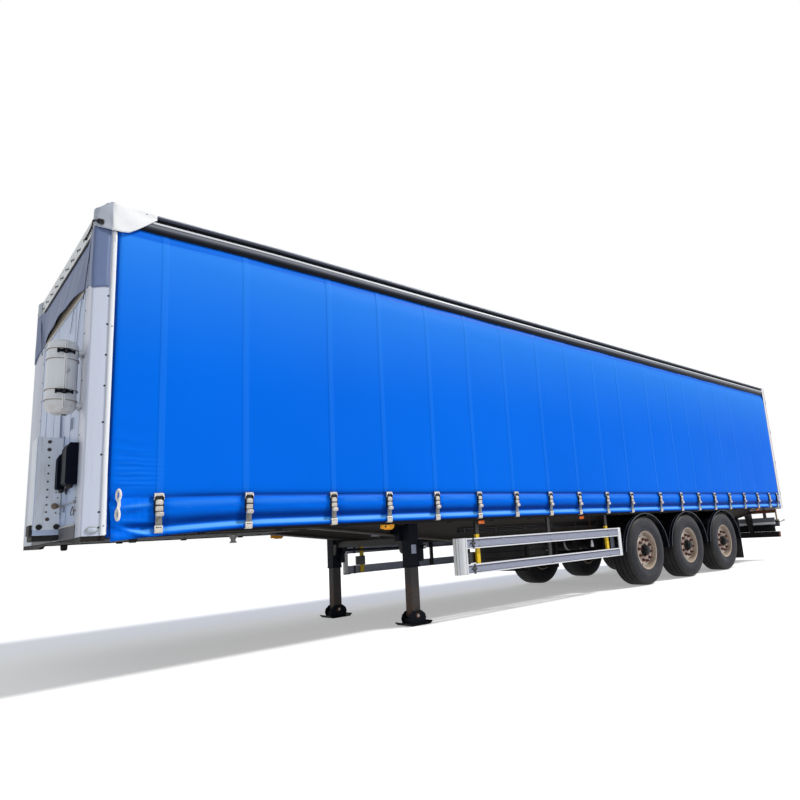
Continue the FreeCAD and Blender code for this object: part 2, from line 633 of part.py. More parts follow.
def lock_bars():
    """Two upright lock bars of the left door, with guides and a flat handle each."""
    z0, z1 = FLOOR_TOP - 40, RAIL_TOP - REAR_HEADER_HEIGHT + 40
    s = REAR_FACE + 8 + LOCK_BAR_RADIUS
    bars = []
    for y in (190, 760):
        bar = rod(Vector(at(s), y, z0), Vector(at(s), y, z1), LOCK_BAR_RADIUS)
        guides = [block(REAR_FACE, s + 4, y - 34, y + 34, z, z + 50)
                  for z in (FLOOR_TOP + 16, FLOOR_TOP + 830, FLOOR_TOP + 1640, RAIL_TOP - REAR_HEADER_HEIGHT - 73)]
        handle = block(s + 6, s + 16, y, y + 330, FLOOR_TOP + 330, FLOOR_TOP + 366)
        bars.append(merged([bar, handle] + guides))
    return bars


def rear_doors():
    panel, bars = door_panel(), lock_bars()
    save("rear_door_left", panel)
    save("rear_door_right", mirrored(panel))
    save("lock_bars_left", bars)
    save("lock_bars_right", [mirrored(bar) for bar in bars])


def rear_bumpers():
    """Rubber dock buffers on the rear sill."""
    outer = HALF_WIDTH - BUMPER_INSET
    buffer = block(REAR_FACE, REAR_FACE + REAR_REACH, outer - BUMPER_WIDTH, outer, FRONT_SILL_BOTTOM + 10,
                   FLOOR_TOP - 45)
    save("rear_bumpers", both_sides(buffer))


def side_guard():
    """Two rails joined at the front by a rounded cap and at the rear by an end cap."""
    face, inner = GUARD_FACE, GUARD_FACE - GUARD_RAIL_WALL
    low = block(GUARD_START, GUARD_END, inner, face, GUARD_LOW_BOTTOM, GUARD_LOW_BOTTOM + GUARD_LOW_HEIGHT)
    high = block(GUARD_START, GUARD_END, inner, face, GUARD_HIGH_BOTTOM, GUARD_HIGH_BOTTOM + GUARD_HIGH_HEIGHT)
    z0, z1 = GUARD_LOW_BOTTOM, GUARD_HIGH_BOTTOM + GUARD_HIGH_HEIGHT
    centre = Vector(at(GUARD_START), face - GUARD_CAP_RADIUS, z0)
    tube = Part.makeCylinder(GUARD_CAP_RADIUS, z1 - z0, centre)
    bore = Part.makeCylinder(GUARD_CAP_RADIUS - 8, z1 - z0, centre)
    quarter = Part.makeBox(GUARD_CAP_RADIUS, GUARD_CAP_RADIUS, z1 - z0, centre)
    cap = tube.cut(bore).common(quarter)
    end = block(GUARD_END, GUARD_END + 34, inner - 12, face, z0, z1)
    return merged([low, high, cap, end])


def guard_posts():
    """Yellow uprights that carry the side guards from the outer rail."""
    pieces = []
    first, last = GUARD_START + 228, GUARD_END - 285
    inner = GUARD_FACE - GUARD_RAIL_WALL
    for s in (first, (first + last) / 2, last):
        post = block(s - 26, s + 26, inner - 32, inner, GUARD_LOW_BOTTOM + 12, OUTER_RAIL_BOTTOM)
        pieces += both_sides(post)
    return pieces


def side_guards():
    left = side_guard()
    save("side_guard_left", left)
    save("side_guard_right", mirrored(left))
    save("guard_posts", guard_posts())


def landing_legs():
    """Outer leg tubes with their head brackets, gearbox and cross shaft."""
    half, y = LEG_TUBE / 2, LEG_HALF_SPACING
    s = LEG_STATION
    tube = block(s - half, s + half, y - half, y + half, LEG_TUBE_BOTTOM, FLOOR_BOTTOM - CROSS_HEIGHT)
    bore = block(s - half + LEG_TUBE_WALL, s + half - LEG_TUBE_WALL, y - half + LEG_TUBE_WALL,
                 y + half - LEG_TUBE_WALL, LEG_TUBE_BOTTOM - 1, FLOOR_BOTTOM - CROSS_HEIGHT - 40)
    web, flange_top = BEAM_HALF_SPACING + BEAM_WEB / 2, beam_bottom(s - LEG_HEAD_HALF) + BEAM_FLANGE + 4
    head = section([(web, LEG_HEAD_TOP), (web, flange_top), (BEAM_OUTER_FLANGE + 1, flange_top),
                    (BEAM_OUTER_FLANGE + 1, LEG_HEAD_BOTTOM), (y - half, LEG_HEAD_BOTTOM), (y - half, LEG_HEAD_TOP)],
                   s - LEG_HEAD_HALF, s + LEG_HEAD_HALF)
    gearbox = block(s + half, s + half + 62, y - 50, y + 50, 690, 920)
    shaft = rod(Vector(at(s + half + 31), -y + 50, 850), Vector(at(s + half + 31), y - 50, 850), 16)
    stub = rod(Vector(at(s + half + 31), y + 50, 850), Vector(at(s + half + 31), y + 150, 850), 14)
    brace = rod(Vector(at(s + 40), y - half - 1, 700), Vector(at(s + 40), BEAM_HALF_SPACING - 20, 905), 20)
    left = merged([tube, head, gearbox, brace]).cut(bore)
    right = mirrored(left)
    save("landing_legs", merged([left, right, shaft, stub]))


def landing_feet():
    """Sliding inner legs with flat feet on rocking pins."""
    s, y = LEG_STATION, LEG_HALF_SPACING
    half = INNER_LEG / 2
    inner = block(s - half, s + half, y - half, y + half, 90, LEG_TUBE_BOTTOM + 420)
    pad = block(s - FOOT_LENGTH / 2, s + FOOT_LENGTH / 2, y - FOOT_WIDTH / 2, y + FOOT_WIDTH / 2, 0, FOOT_THICKNESS)
    ears = [block(s - 60, s + 60, y + d, y + d + 12, FOOT_THICKNESS, 130) for d in (-half - 12, half)]
    pin = rod(Vector(at(s), y - half - 26, 105), Vector(at(s), y + half + 26, 105), 17)
    save("landing_feet", both_sides(merged([inner, pad, pin] + ears)))


def hangers():
    """Suspension hanger brackets and trailing arms."""
    pieces = []
    for s in AXLE_STATIONS:
        y0, y1 = BEAM_HALF_SPACING - 55, BEAM_HALF_SPACING + 55
        bracket = side_profile([(s - 640, BEAM_BOTTOM), (s - 380, BEAM_BOTTOM), (s - 430, 600), (s - 570, 600)], y0, y1)
        void = side_profile([(s - 660, BEAM_BOTTOM - 12), (s - 360, BEAM_BOTTOM - 12), (s - 360, 590), (s - 660, 590)],
                            y0 + 10, y1 - 10)
        eye = rod(Vector(at(s - 500), y0 - 12, 660), Vector(at(s - 500), y1 + 12, 660), 42)
        top = AXLE_Z + AXLE_TUBE_RADIUS
        seat = spring_seat()
        arm = side_profile([(s - 500, 690), (s - 90, top + 58), (s + 120, top + 50), (s + 240, seat),
                            (s + SPRING_REACH + 110, seat), (s + SPRING_REACH + 110, seat - 28),
                            (s + 200, seat - 28), (s + 90, top), (s - 90, top), (s - 500, 630)],
                           BEAM_HALF_SPACING - 38, BEAM_HALF_SPACING + 38)
        saddle = block(s - 80, s + 80, BEAM_HALF_SPACING - 45, BEAM_HALF_SPACING + 45, AXLE_Z - AXLE_TUBE_RADIUS - 18,
                       top + 4)
        axle_hole = rod(Vector(at(s), 0, AXLE_Z), Vector(at(s), BODY_WIDTH, AXLE_Z),
                        AXLE_TUBE_RADIUS + SEAT_GAP)
        pieces += both_sides(merged([bracket.cut(void), eye, arm, saddle]).cut(axle_hole))
    save("suspension_hangers", pieces)


def spring_seat():
    """Height of the trailing arm's flat end, where the air spring stands."""
    return AXLE_Z + AXLE_TUBE_RADIUS - 30


def air_springs():
    """Rubber bellows between the trailing arms and the main beams."""
    pieces = []
    for s in AXLE_STATIONS:
        low = spring_seat() + SEAT_GAP
        centre = Vector(at(s + SPRING_REACH), BEAM_HALF_SPACING, low)
        height = BEAM_BOTTOM - SEAT_GAP - low
        outline = [(0, 0), (0, 95), (height * 0.25, 100), (height * 0.35, 138), (height * 0.6, 148),
                   (height * 0.9, 138), (height, 118), (height, 0)]
        pieces += both_sides(turned(outline, centre, (0, 0, 1)))
    return pieces


def axles():
    """Axle tubes with brake plates and bearing spindles."""
    pieces = []
    for s in AXLE_STATIONS:
        tube_end = WHEEL_CENTRE_Y - 190
        outline = [(0, 0), (0, AXLE_TUBE_RADIUS), (tube_end - 60, AXLE_TUBE_RADIUS), (tube_end - 60, 150),
                   (tube_end - 46, 150), (tube_end - 46, 70), (tube_end, 62), (tube_end, SPINDLE_RADIUS),
                   (WHEEL_CENTRE_Y + 60, SPINDLE_RADIUS), (WHEEL_CENTRE_Y + 60, 0)]
        half = turned(outline, Vector(at(s), 0, AXLE_Z), (0, 1, 0))
        chamber = rod(Vector(at(s - 150), 470, AXLE_Z + 40), Vector(at(s - 150), 330, AXLE_Z + 40), 78)
        arm = block(s - 160, s - 20, 385, 415, AXLE_Z - 20, AXLE_Z + 20)
        left = merged([half, chamber, arm])
        pieces.append(merged([left, mirrored(left)]))
    save("axles", pieces)


def tyre_outline():
    """Half of a wide single tyre: bead, side wall, shoulder and tread, as (across, radius) pairs."""
    w, r = TYRE_WIDTH / 2, TYRE_RADIUS
    half = [(w - 40, BEAD_RADIUS), (w - 4, BEAD_RADIUS + 78), (w, BEAD_RADIUS + 130), (w - 26, r - 20), (w - 46, r)]
    return half + [(-a, b) for a, b in reversed(half)]


def tyre(centre, axis):
    return turned(tyre_outline(), centre, axis)


def rim(centre, side):
    """Deep-dish disc wheel with brake drum and hub; positive distances point outwards."""
    w = TYRE_WIDTH / 2
    seat, inside = BEAD_RADIUS, BEAD_RADIUS - RIM_SHELL
    barrel = turned([(-w + 30, RIM_FLANGE_RADIUS), (-w + 30, inside), (w - 30, inside), (w - 30, RIM_FLANGE_RADIUS),
                     (w - 40, seat), (-w + 40, seat)], centre, (0, side, 0))
    face = w - 86
    disc = turned([(face, inside), (face + 24, 190), (face + 24, HUB_RADIUS), (face + 12, HUB_RADIUS),
                   (face + 12, 186), (face - 12, inside)], centre, (0, side, 0))
    bore = SPINDLE_RADIUS + BEARING_CLEARANCE
    cup = turned([(face + 70, 0), (face + 70, 70), (face + 24, HUB_RADIUS), (face - 175, HUB_RADIUS),
                  (face - 175, bore), (face + 40, bore), (face + 40, 0)], centre, (0, side, 0))
    drum = turned([(face - 30, HUB_RADIUS), (face - 30, BRAKE_DRUM_RADIUS), (face - 220, BRAKE_DRUM_RADIUS),
                   (face - 220, BRAKE_DRUM_RADIUS - 14), (face - 44, BRAKE_DRUM_RADIUS - 14),
                   (face - 44, HUB_RADIUS)], centre, (0, side, 0))
    return merged([barrel, disc, cup, drum])


def wheels():
    names = ("front", "middle", "rear")
    for name, s in zip(names, AXLE_STATIONS):
        for side, word in ((1, "left"), (-1, "right")):
            centre = Vector(at(s), side * WHEEL_CENTRE_Y, AXLE_Z)
            save(f"tyre_{name}_{word}", tyre(centre, (0, side, 0)))
            save(f"wheel_{name}_{word}", rim(centre, side))


def arch(centre, a, b, y0, width):
    """Flattened half-round outline through its crown, its shoulders and its ends, pushed outwards."""
    def point(angle):
        t = math.radians(angle)
        return Vector(centre.x + a * math.cos(t), y0, centre.z + b * math.sin(t))
    arcs = [Part.Arc(point(t), point(t + 22.5), point(t + 45)).toShape() for t in (0, 45, 90, 135)]
    base = Part.makeLine(point(180), point(0))
    return Part.Face(Part.Wire(arcs + [base])).extrude(Vector(0, width, 0))


def mudguards():
    """Flattened half-round mudguards on short stays from the main beams, and the flap stays."""
    pieces = []
    width = MUDGUARD_OUTER_Y - MUDGUARD_INNER_Y
    for s in AXLE_STATIONS:
        centre = Vector(at(s), 0, AXLE_Z)
        outer = arch(centre, MUDGUARD_HALF_LENGTH, MUDGUARD_HEIGHT, MUDGUARD_INNER_Y, width)
        inner = arch(centre, MUDGUARD_HALF_LENGTH - MUDGUARD_SHELL, MUDGUARD_HEIGHT - MUDGUARD_SHELL,
                     MUDGUARD_INNER_Y, width)
        shell = outer.cut(inner)
        crown = math.sqrt(1 - (MUDGUARD_STAY_REACH / MUDGUARD_HALF_LENGTH) ** 2)
        stay_z = AXLE_Z + MUDGUARD_HEIGHT * crown - MUDGUARD_SHELL
        stays = []
        for d in (-MUDGUARD_STAY_REACH, MUDGUARD_STAY_REACH):
            stays.append(rod(Vector(at(s + d), BEAM_OUTER_FLANGE + 6, stay_z),
                             Vector(at(s + d), MUDGUARD_OUTER_Y - 40, stay_z), MUDGUARD_STAY_RADIUS))
            stays.append(block(s + d - 25, s + d + 25, BEAM_OUTER_FLANGE, BEAM_OUTER_FLANGE + 10, BEAM_BOTTOM,
                               stay_z + 22))
        pieces += both_sides(merged([shell] + stays))
    stay_x, stay_z = at(flap_stay_station()), FLAP_TOP - 20
    stay = rod(Vector(stay_x, BEAM_HALF_SPACING + BEAM_WEB / 2, stay_z), Vector(stay_x, MUDGUARD_OUTER_Y - 15, stay_z),
               MUDGUARD_STAY_RADIUS)
    save("mudguards", pieces + both_sides(stay))


def flap_stay_station():
    return AXLE_STATIONS[-1] + MUDGUARD_HALF_LENGTH + 30


def mudflaps():
    """Rubber flaps behind the last wheels, hung from a stay."""
    s = flap_stay_station() + MUDGUARD_STAY_RADIUS
    flap = block(s, s + FLAP_THICKNESS, MUDGUARD_INNER_Y + 10, MUDGUARD_OUTER_Y - 10, FLAP_BOTTOM, FLAP_TOP)
    save("mudflaps", both_sides(flap))


def underrun_bar():
    """Rear under-run bar with its two hangers and end caps."""
    end = REAR_FACE - UNDERRUN_TO_REAR
    half, top = HALF_WIDTH - UNDERRUN_INSET, UNDERRUN_BOTTOM + UNDERRUN_HEIGHT
    bar = block(end - UNDERRUN_DEPTH, end, -half, half, UNDERRUN_BOTTOM, top)
    arms = []
    for side in (1, -1):
        y0, y1 = sorted((side * (BEAM_HALF_SPACING - 40), side * (BEAM_HALF_SPACING + 40)))
        arms.append(side_profile([(end - 270, beam_bottom(end - 270)), (end - 40, beam_bottom(end - 40)),
                                  (end - 10, top), (end - 90, top)], y0, y1))
    save("underrun_bar", merged([bar] + arms))


def rear_lamps():
    """Rear lamp carrier under the sill, with a lamp block on each side."""
    s0, s1 = CARRIER_STATION, CARRIER_STATION + CARRIER_DEPTH
    half, top = HALF_WIDTH - CARRIER_INSET, CARRIER_BOTTOM + CARRIER_HEIGHT
    carrier = block(s0, s1, -half, half, CARRIER_BOTTOM, top)
    hangs = [block(s0, s1, side * (half - 280) - 30, side * (half - 280) + 30, top, FRONT_SILL_BOTTOM)
             for side in (1, -1)]
    lamp = block(s1, s1 + LAMP_DEPTH, half - LAMP_WIDTH, half, CARRIER_BOTTOM - 20, top + 40)
    save("lamp_carrier", merged([carrier] + hangs))
    markers = []
    for s in (2700, 4100, AXLE_STATIONS[1] - 3120, AXLE_STATIONS[1] - 770, REAR_FACE - 1520):
        markers.append(block(s - 50, s + 50, OUTER_RAIL_FACE - MARKER_DEPTH - 2, OUTER_RAIL_FACE - 2,
                             OUTER_RAIL_BOTTOM - MARKER_HEIGHT, OUTER_RAIL_BOTTOM))
    save("lamps", both_sides(lamp) + [shape for marker in markers for shape in both_sides(marker)])


def spare_wheel():
    """Spare wheel lying flat in a basket below the cross members."""
    centre = Vector(at(SPARE_STATION), 0, SPARE_BOTTOM + TYRE_WIDTH / 2)
    w = TYRE_WIDTH / 2
    save("spare_tyre", tyre(centre, (0, 0, 1)))
    z = SPARE_BOTTOM
    frame = []
    for d in (-330, 330):
        frame.append(block(SPARE_STATION + d - 25, SPARE_STATION + d + 25, -620, 620, z - 44, z))
        for side in (1, -1):
            y0, y1 = sorted((side * 580, side * 620))
            frame.append(block(SPARE_STATION + d - 25, SPARE_STATION + d + 25, y0, y1, z,
                               beam_bottom(SPARE_STATION + d + 25)))
    hooks = merged(frame[:3]), merged(frame[3:])
    seat = BEAD_RADIUS
    ring = turned([(-w + 40, seat), (-w + 40, seat - 14), (w - 40, seat - 14), (w - 40, seat)], centre, (0, 0, 1))
    disc = turned([(40, 0), (40, seat - 12), (54, seat - 12), (54, 0)], centre, (0, 0, 1))
    save("spare_rim", merged([ring, disc]))
    save("spare_basket", list(hooks))


def air_tanks():
    """Air reservoirs slung across the chassis, with straps."""
    tanks = []
    for s in (AXLE_STATIONS[0] - TANK_TO_AXLE, AXLE_STATIONS[0] - TANK_TO_AXLE + TANK_PITCH):
        z = 720
        r, h = TANK_RADIUS, TANK_LENGTH
        tank = turned([(-h / 2 - 40, 0), (-h / 2 - 32, r * 0.6), (-h / 2, r), (h / 2, r), (h / 2 + 32, r * 0.6),
                       (h / 2 + 40, 0)], Vector(at(s), 0, z), (0, 1, 0))
        web_in = BEAM_HALF_SPACING - BEAM_WEB / 2
        bar_low = BEAM_BOTTOM + BEAM_FLANGE + 10
        straps = [block(s - 20, s + 20, y, y + 40, z + r - 6, bar_low + 4) for y in (-260, 220)]
        straps.append(block(s - 20, s + 20, -web_in, web_in, bar_low, bar_low + 40))
        tanks.append(merged([tank] + straps))
    save("air_tanks", tanks)


def soft_springs():
    save("air_springs", air_springs())


def build():
    main_beams()
    cross_members()
    side_rails()
    coupler_plate()
    kingpin()
    load_floor()
    front_wall()
    front_posts()
    front_frame()
    front_tarp()
    console()
    connector_box()
    extinguisher_case()
    extinguisher_lid()
    roof_rails()
    roof_bows()
    roof_tarp()
    curtains()
    side_posts()
    rear_frame()
    rear_doors()
    rear_bumpers()
    side_guards()
    landing_legs()
    landing_feet()
    hangers()
    soft_springs()
    axles()
    wheels()
    mudguards()
    mudflaps()
    underrun_bar()
    rear_lamps()
    spare_wheel()
    air_tanks()


build()
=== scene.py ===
import json
from itertools import product
from math import atan2, copysign, cos, pi, radians, sin, sqrt, tau

import bmesh
import bpy
import numpy as np
from mathutils import Matrix, Vector

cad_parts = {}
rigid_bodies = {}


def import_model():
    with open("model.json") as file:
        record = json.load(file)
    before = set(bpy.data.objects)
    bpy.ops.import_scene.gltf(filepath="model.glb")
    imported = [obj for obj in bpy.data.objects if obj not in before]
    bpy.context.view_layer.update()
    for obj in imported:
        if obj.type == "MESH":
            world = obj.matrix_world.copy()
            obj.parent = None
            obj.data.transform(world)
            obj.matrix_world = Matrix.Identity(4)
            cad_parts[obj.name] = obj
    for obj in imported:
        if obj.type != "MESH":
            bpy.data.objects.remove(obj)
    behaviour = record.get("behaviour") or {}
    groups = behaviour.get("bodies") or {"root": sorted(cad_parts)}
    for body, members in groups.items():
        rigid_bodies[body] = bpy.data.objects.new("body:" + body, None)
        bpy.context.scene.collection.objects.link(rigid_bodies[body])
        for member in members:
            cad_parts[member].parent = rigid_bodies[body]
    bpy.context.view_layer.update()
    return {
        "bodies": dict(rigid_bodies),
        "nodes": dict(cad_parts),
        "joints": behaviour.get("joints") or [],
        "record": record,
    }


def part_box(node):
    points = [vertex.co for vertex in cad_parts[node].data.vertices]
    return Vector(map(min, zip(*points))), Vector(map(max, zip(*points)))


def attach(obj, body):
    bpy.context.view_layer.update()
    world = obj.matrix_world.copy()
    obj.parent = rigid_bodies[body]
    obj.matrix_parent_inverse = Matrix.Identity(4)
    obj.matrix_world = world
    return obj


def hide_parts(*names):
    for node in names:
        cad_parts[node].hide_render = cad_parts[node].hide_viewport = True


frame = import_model()
nodes = frame["nodes"]
print("frame loaded:", len(nodes), "nodes")

# Driving places, all read from the frame. A station is a distance behind the front wall's outer face.
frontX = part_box("front_wall")[1].x
curtainLow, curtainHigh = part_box("curtain_left")
hemZ, curtainTop, curtainY = curtainLow.z, curtainHigh.z, curtainHigh.y
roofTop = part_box("roof_rails")[1].z
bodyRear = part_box("rear_frame")[0].x
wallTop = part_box("front_wall")[1].z
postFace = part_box("front_posts")[1].y
wheelNames = ("front", "middle", "rear")
sides = ((1, "left"), (-1, "right"))


def at(station):
    return frontX - station


def around(centre, radius, angle, out=0.0):
    # Point on a circle square to y, moved along y.
    return Vector(centre) + Vector((radius * cos(angle), out, radius * sin(angle)))


def stationOf(x):
    return frontX - x


def newObject(name, data):
    made = bpy.data.objects.new(name, data)
    bpy.context.scene.collection.objects.link(made)
    return made


def smooth(mesh, angle=None):
    mesh.polygons.foreach_set("use_smooth", [True] * len(mesh.polygons))
    if angle:
        mesh.set_sharp_from_angle(angle=radians(angle))


def gridFaces(rings, count, closed=True):
    # Quads between neighbouring rings of one length.
    return [(i * count + k, (i + 1) % rings * count + k, (i + 1) % rings * count + (k + 1) % count,
        i * count + (k + 1) % count) for i in range(rings - (not closed)) for k in range(count)]


def addNode(tree, kind, settings=None, inputs=None):
    # Adds any shader or geometry node: settings first, then values or links by socket name or number.
    node = tree.nodes.new(kind)
    for key, value in (settings or {}).items():
        if key == "stops":
            ramp = node.color_ramp
            while len(ramp.elements) < len(value):
                ramp.elements.new(0.5)
            for element, (place, tone) in zip(ramp.elements, value):
                element.position = place
                element.color = tone if hasattr(tone, "__len__") else (tone, tone, tone, 1)
        else:
            setattr(node, key, value)
    for key, value in (inputs or {}).items():
        socket = node.inputs[key]
        if isinstance(value, Wire):
            tree.links.new(value.socket, socket)
        elif value is not None:
            socket.default_value = value
    return node


class Wire:
    # A value that travels through a node tree, so that node maths reads as plain maths.
    def __init__(self, tree, socket):
        self.tree, self.socket = tree, socket

    def math(self, operation, *others, clamp=False):
        inputs = {0: self}
        inputs.update({i + 1: other for i, other in enumerate(others)})
        node = addNode(self.tree, "ShaderNodeMath", {"operation": operation, "use_clamp": clamp}, inputs)
        return Wire(self.tree, node.outputs[0])

    def flipped(self, operation, other):
        node = addNode(self.tree, "ShaderNodeMath", {"operation": operation}, {0: other, 1: self})
        return Wire(self.tree, node.outputs[0])

    def __add__(self, other):
        return self.math("ADD", other)

    __radd__ = __add__

    def __mul__(self, other):
        return self.math("MULTIPLY", other)

    __rmul__ = __mul__

    def __sub__(self, other):
        return self.math("SUBTRACT", other)

    def __rsub__(self, other):
        return self.flipped("SUBTRACT", other)

    def __truediv__(self, other):
        return self.math("DIVIDE", other)

    def step(self, low, high):
        # Smooth ramp from 0 at low to 1 at high.
        settings = {"interpolation_type": "SMOOTHSTEP"}
        node = addNode(self.tree, "ShaderNodeMapRange", settings, {0: self, 1: low, 2: high, 3: 0.0, 4: 1.0})
        return Wire(self.tree, node.outputs[0])

    def clamped(self):
        return self.math("MULTIPLY", 1.0, clamp=True)


class Paint:
    # One material, built from the parts that a finish needs.
    def __init__(self, name):
        self.material = bpy.data.materials.new(name)
        self.material.use_nodes = True
        self.tree = self.material.node_tree
        self.tree.nodes.clear()
        self.place = self.out("ShaderNodeTexCoord", output="Object")
        self.base = self.normal = None

    def out(self, kind, settings=None, inputs=None, output=0):
        node = addNode(self.tree, kind, settings, inputs)
        return Wire(self.tree, node.outputs[output])

    def axis(self, letter):
        return self.out("ShaderNodeSeparateXYZ", None, {0: self.place}, letter)

    def facing(self, letter):
        geometry = self.out("ShaderNodeNewGeometry", output="Normal")
        return self.out("ShaderNodeSeparateXYZ", None, {0: geometry}, letter)

    def attribute(self, name):
        return self.out("ShaderNodeAttribute", {"attribute_name": name}, output="Fac")

    def stretched(self, scale):
        return self.out("ShaderNodeMapping", None, {"Vector": self.place, "Scale": scale})

    def noise(self, scale, detail=4.0, rough=0.55, stretch=(1, 1, 1), warp=0.0):
        inputs = {"Vector": self.stretched(stretch), "Scale": scale, "Detail": detail, "Roughness": rough,
            "Distortion": warp}
        return self.out("ShaderNodeTexNoise", None, inputs)

    def cells(self, scale, stretch=(1, 1, 1), feature="F1"):
        inputs = {"Vector": self.stretched(stretch), "Scale": scale}
        return self.out("ShaderNodeTexVoronoi", {"feature": feature}, inputs)

    def waves(self, scale, direction="X", warp=0.0, profile="SIN"):
        settings = {"wave_type": "BANDS", "bands_direction": direction, "wave_profile": profile}
        inputs = {"Vector": self.place, "Scale": scale, "Distortion": warp, "Detail": 1.0}
        return self.out("ShaderNodeTexWave", settings, inputs, "Fac")

    def mix(self, share, first, second):
        settings = {"data_type": "RGBA", "clamp_factor": True}
        return self.out("ShaderNodeMix", settings, {0: share, 6: first, 7: second}, 2)

    def coat(self, share, colour):
        # Lays a colour over the base so far.
        self.base = self.mix(share, self.base, colour)

    def bump(self, height, strength, distance):
        inputs = {"Height": height, "Strength": strength, "Distance": distance}
        if self.normal is not None:
            inputs["Normal"] = self.normal
        self.normal = self.out("ShaderNodeBump", None, inputs)

    def finish(self, **sockets):
        names = {"colour": "Base Color", "rough": "Roughness", "metal": "Metallic", "coat": "Coat Weight",
            "coatRough": "Coat Roughness", "specular": "Specular IOR Level", "sheen": "Sheen Weight",
            "glow": "Emission Strength", "glowColour": "Emission Color"}
        shader = addNode(self.tree, "ShaderNodeBsdfPrincipled")
        for key, value in sockets.items():
            socket = shader.inputs[names[key]]
            if isinstance(value, Wire):
                self.tree.links.new(value.socket, socket)
            else:
                socket.default_value = value
        if self.normal is not None:
            self.tree.links.new(self.normal.socket, shader.inputs["Normal"])
        output = self.tree.nodes.new("ShaderNodeOutputMaterial")
        self.tree.links.new(shader.outputs[0], output.inputs[0])
        return self.material


def tone(red, green, blue):
    # Screen colour from 0 to 255 as the linear colour that shaders take.
    def linear(value):
        value = value / 255
        return value / 12.92 if value <= 0.04045 else ((value + 0.055) / 1.055) ** 2.4
    return (linear(red), linear(green), linear(blue), 1.0)


# Finishes

def paintedMetal(name, colour, dirt, rough=0.42, dust=0.35, rust=0.0, chips=0.0, streaks=0.0, specular=0.5):
    paint = Paint(name)
    cloud = paint.noise(1.7, 5.0)
    grain = paint.noise(38.0, 6.0, 0.65)
    up = paint.facing("Z")
    settled = (up.step(0.25, 0.95) * 0.8 + cloud.step(0.42, 0.72) * 0.55) * grain.step(0.3, 0.75) * dust
    paint.base = paint.mix(settled.clamped(), colour, dirt)
    if streaks:
        runs = paint.noise(9.0, 5.0, 0.6, stretch=(6, 6, 0.35)).step(0.54, 0.75) * streaks
        paint.coat(runs, dirt)
    if rust:
        spots = paint.noise(7.0, 8.0, 0.7).step(0.64, 0.7) * rust
        paint.coat(spots, tone(104, 58, 34))
    if chips:
        nicks = paint.noise(85.0, 3.0, 0.7).step(0.7, 0.73) * cloud.step(0.4, 0.6) * chips
        paint.coat(nicks, tone(60, 44, 38))
    paint.bump(grain, 0.12, 0.002)
    paint.bump(paint.noise(4.0, 3.0), 0.1, 0.01)
    return paint.finish(colour=paint.base, rough=(rough + settled * 0.5 + grain * 0.08).clamped(),
        specular=specular)


def curtainCloth(name, colour, deep, pale):
    # Coated woven fabric: fine weave, pale dust at the hem, welded seams from the sheet's own attribute.
    # Painted light: a paler top, a paler zone and a painted shadow band under the rail, and painted
    # highlights and shade of the folds.
    paint = Paint(name)
    cloud = paint.noise(0.45, 4.0, 0.5)
    mottled = paint.noise(5.5, 6.0, 0.6)
    seam = paint.attribute("seam")
    fold = paint.attribute("fold")
    grime = paint.attribute("grime")
    # Paler toward the top: painted sheen of sky light on the upper cloth.
    paintedTopSheen = (paint.axis("Z") + cloud * 0.4).step(2.5, 4.2)
    paint.base = paint.mix(cloud.step(0.35, 0.7) * 0.3, colour, deep)
    paint.coat(paintedTopSheen * 0.6, pale)
    # Painted light under the rail: a paler zone over the upper cloth, then a painted shadow band just below
    # the rail.
    height = paint.axis("Z") + paint.axis("X").step(at(1.6), at(0.0)) * 0.03
    paint.coat(height.step(3.1, 3.56) * 0.14, pale)
    paint.coat(height.step(3.598, 3.622) * 0.75, deep)
    paint.coat(seam.step(0.4, 0.9) * 0.13, pale)
    # Painted highlight where the fold attribute is above zero, painted shade where it is below.
    paint.coat(fold.step(0.0, 1.0) * 0.96, tone(100, 176, 242))
    paint.coat((0 - fold).step(0.0, 1.0) * 0.94, tone(0, 48, 132))
    # Short level folds beside the front edge, just over the loose band, drawn as painted highlight and
    # painted shade bands.
    level = paint.axis("Z")
    reach = paint.axis("X").step(at(0.58), at(0.36)) * level.step(1.445, 1.5) * (1 - level.step(1.56, 1.84))
    reach = reach * (1 - paint.axis("X").step(at(0.26), at(0.14)))
    paintedFoldBands = paint.waves(8.2, "Z", 1.6)
    paint.coat(reach * paintedFoldBands.step(0.55, 1.0) * 0.28, tone(44, 136, 246))
    paint.coat(reach * (1 - paintedFoldBands).step(0.55, 1.0) * 0.45, deep)
    scuffs = paint.noise(26.0, 8.0, 0.7, stretch=(0.4, 1, 2.2)).step(0.6, 0.72) * grime * 0.22
    paint.coat(scuffs.clamped(), tone(120, 150, 190))
    weave = paint.waves(420.0, "X") * 0.5 + paint.waves(420.0, "Z") * 0.5
    paint.bump(weave, 0.035, 0.0006)
    paint.bump(mottled, 0.08, 0.004)
    paint.bump(paint.noise(1.6, 2.0, 0.4, stretch=(1, 1, 0.45)), 0.12, 0.03)
    return paint.finish(colour=paint.base, rough=0.42 + mottled * 0.1, specular=0.03)


def vinyl(name, colour, dirt, amount=0.3):
    paint = Paint(name)
    cloud = paint.noise(2.2, 5.0)
    stain = paint.noise(11.0, 7.0, 0.65, stretch=(1, 1, 0.5)).step(0.5, 0.78) * amount
    paint.base = paint.mix((cloud.step(0.45, 0.75) * amount * 0.5 + stain).clamped(), colour, dirt)
    paint.bump(paint.waves(500.0, "Y") + paint.waves(500.0, "Z"), 0.03, 0.0005)
    paint.bump(paint.noise(6.0, 3.0, 0.5), 0.25, 0.012)
    return paint.finish(colour=paint.base, rough=0.48, specular=0.3)


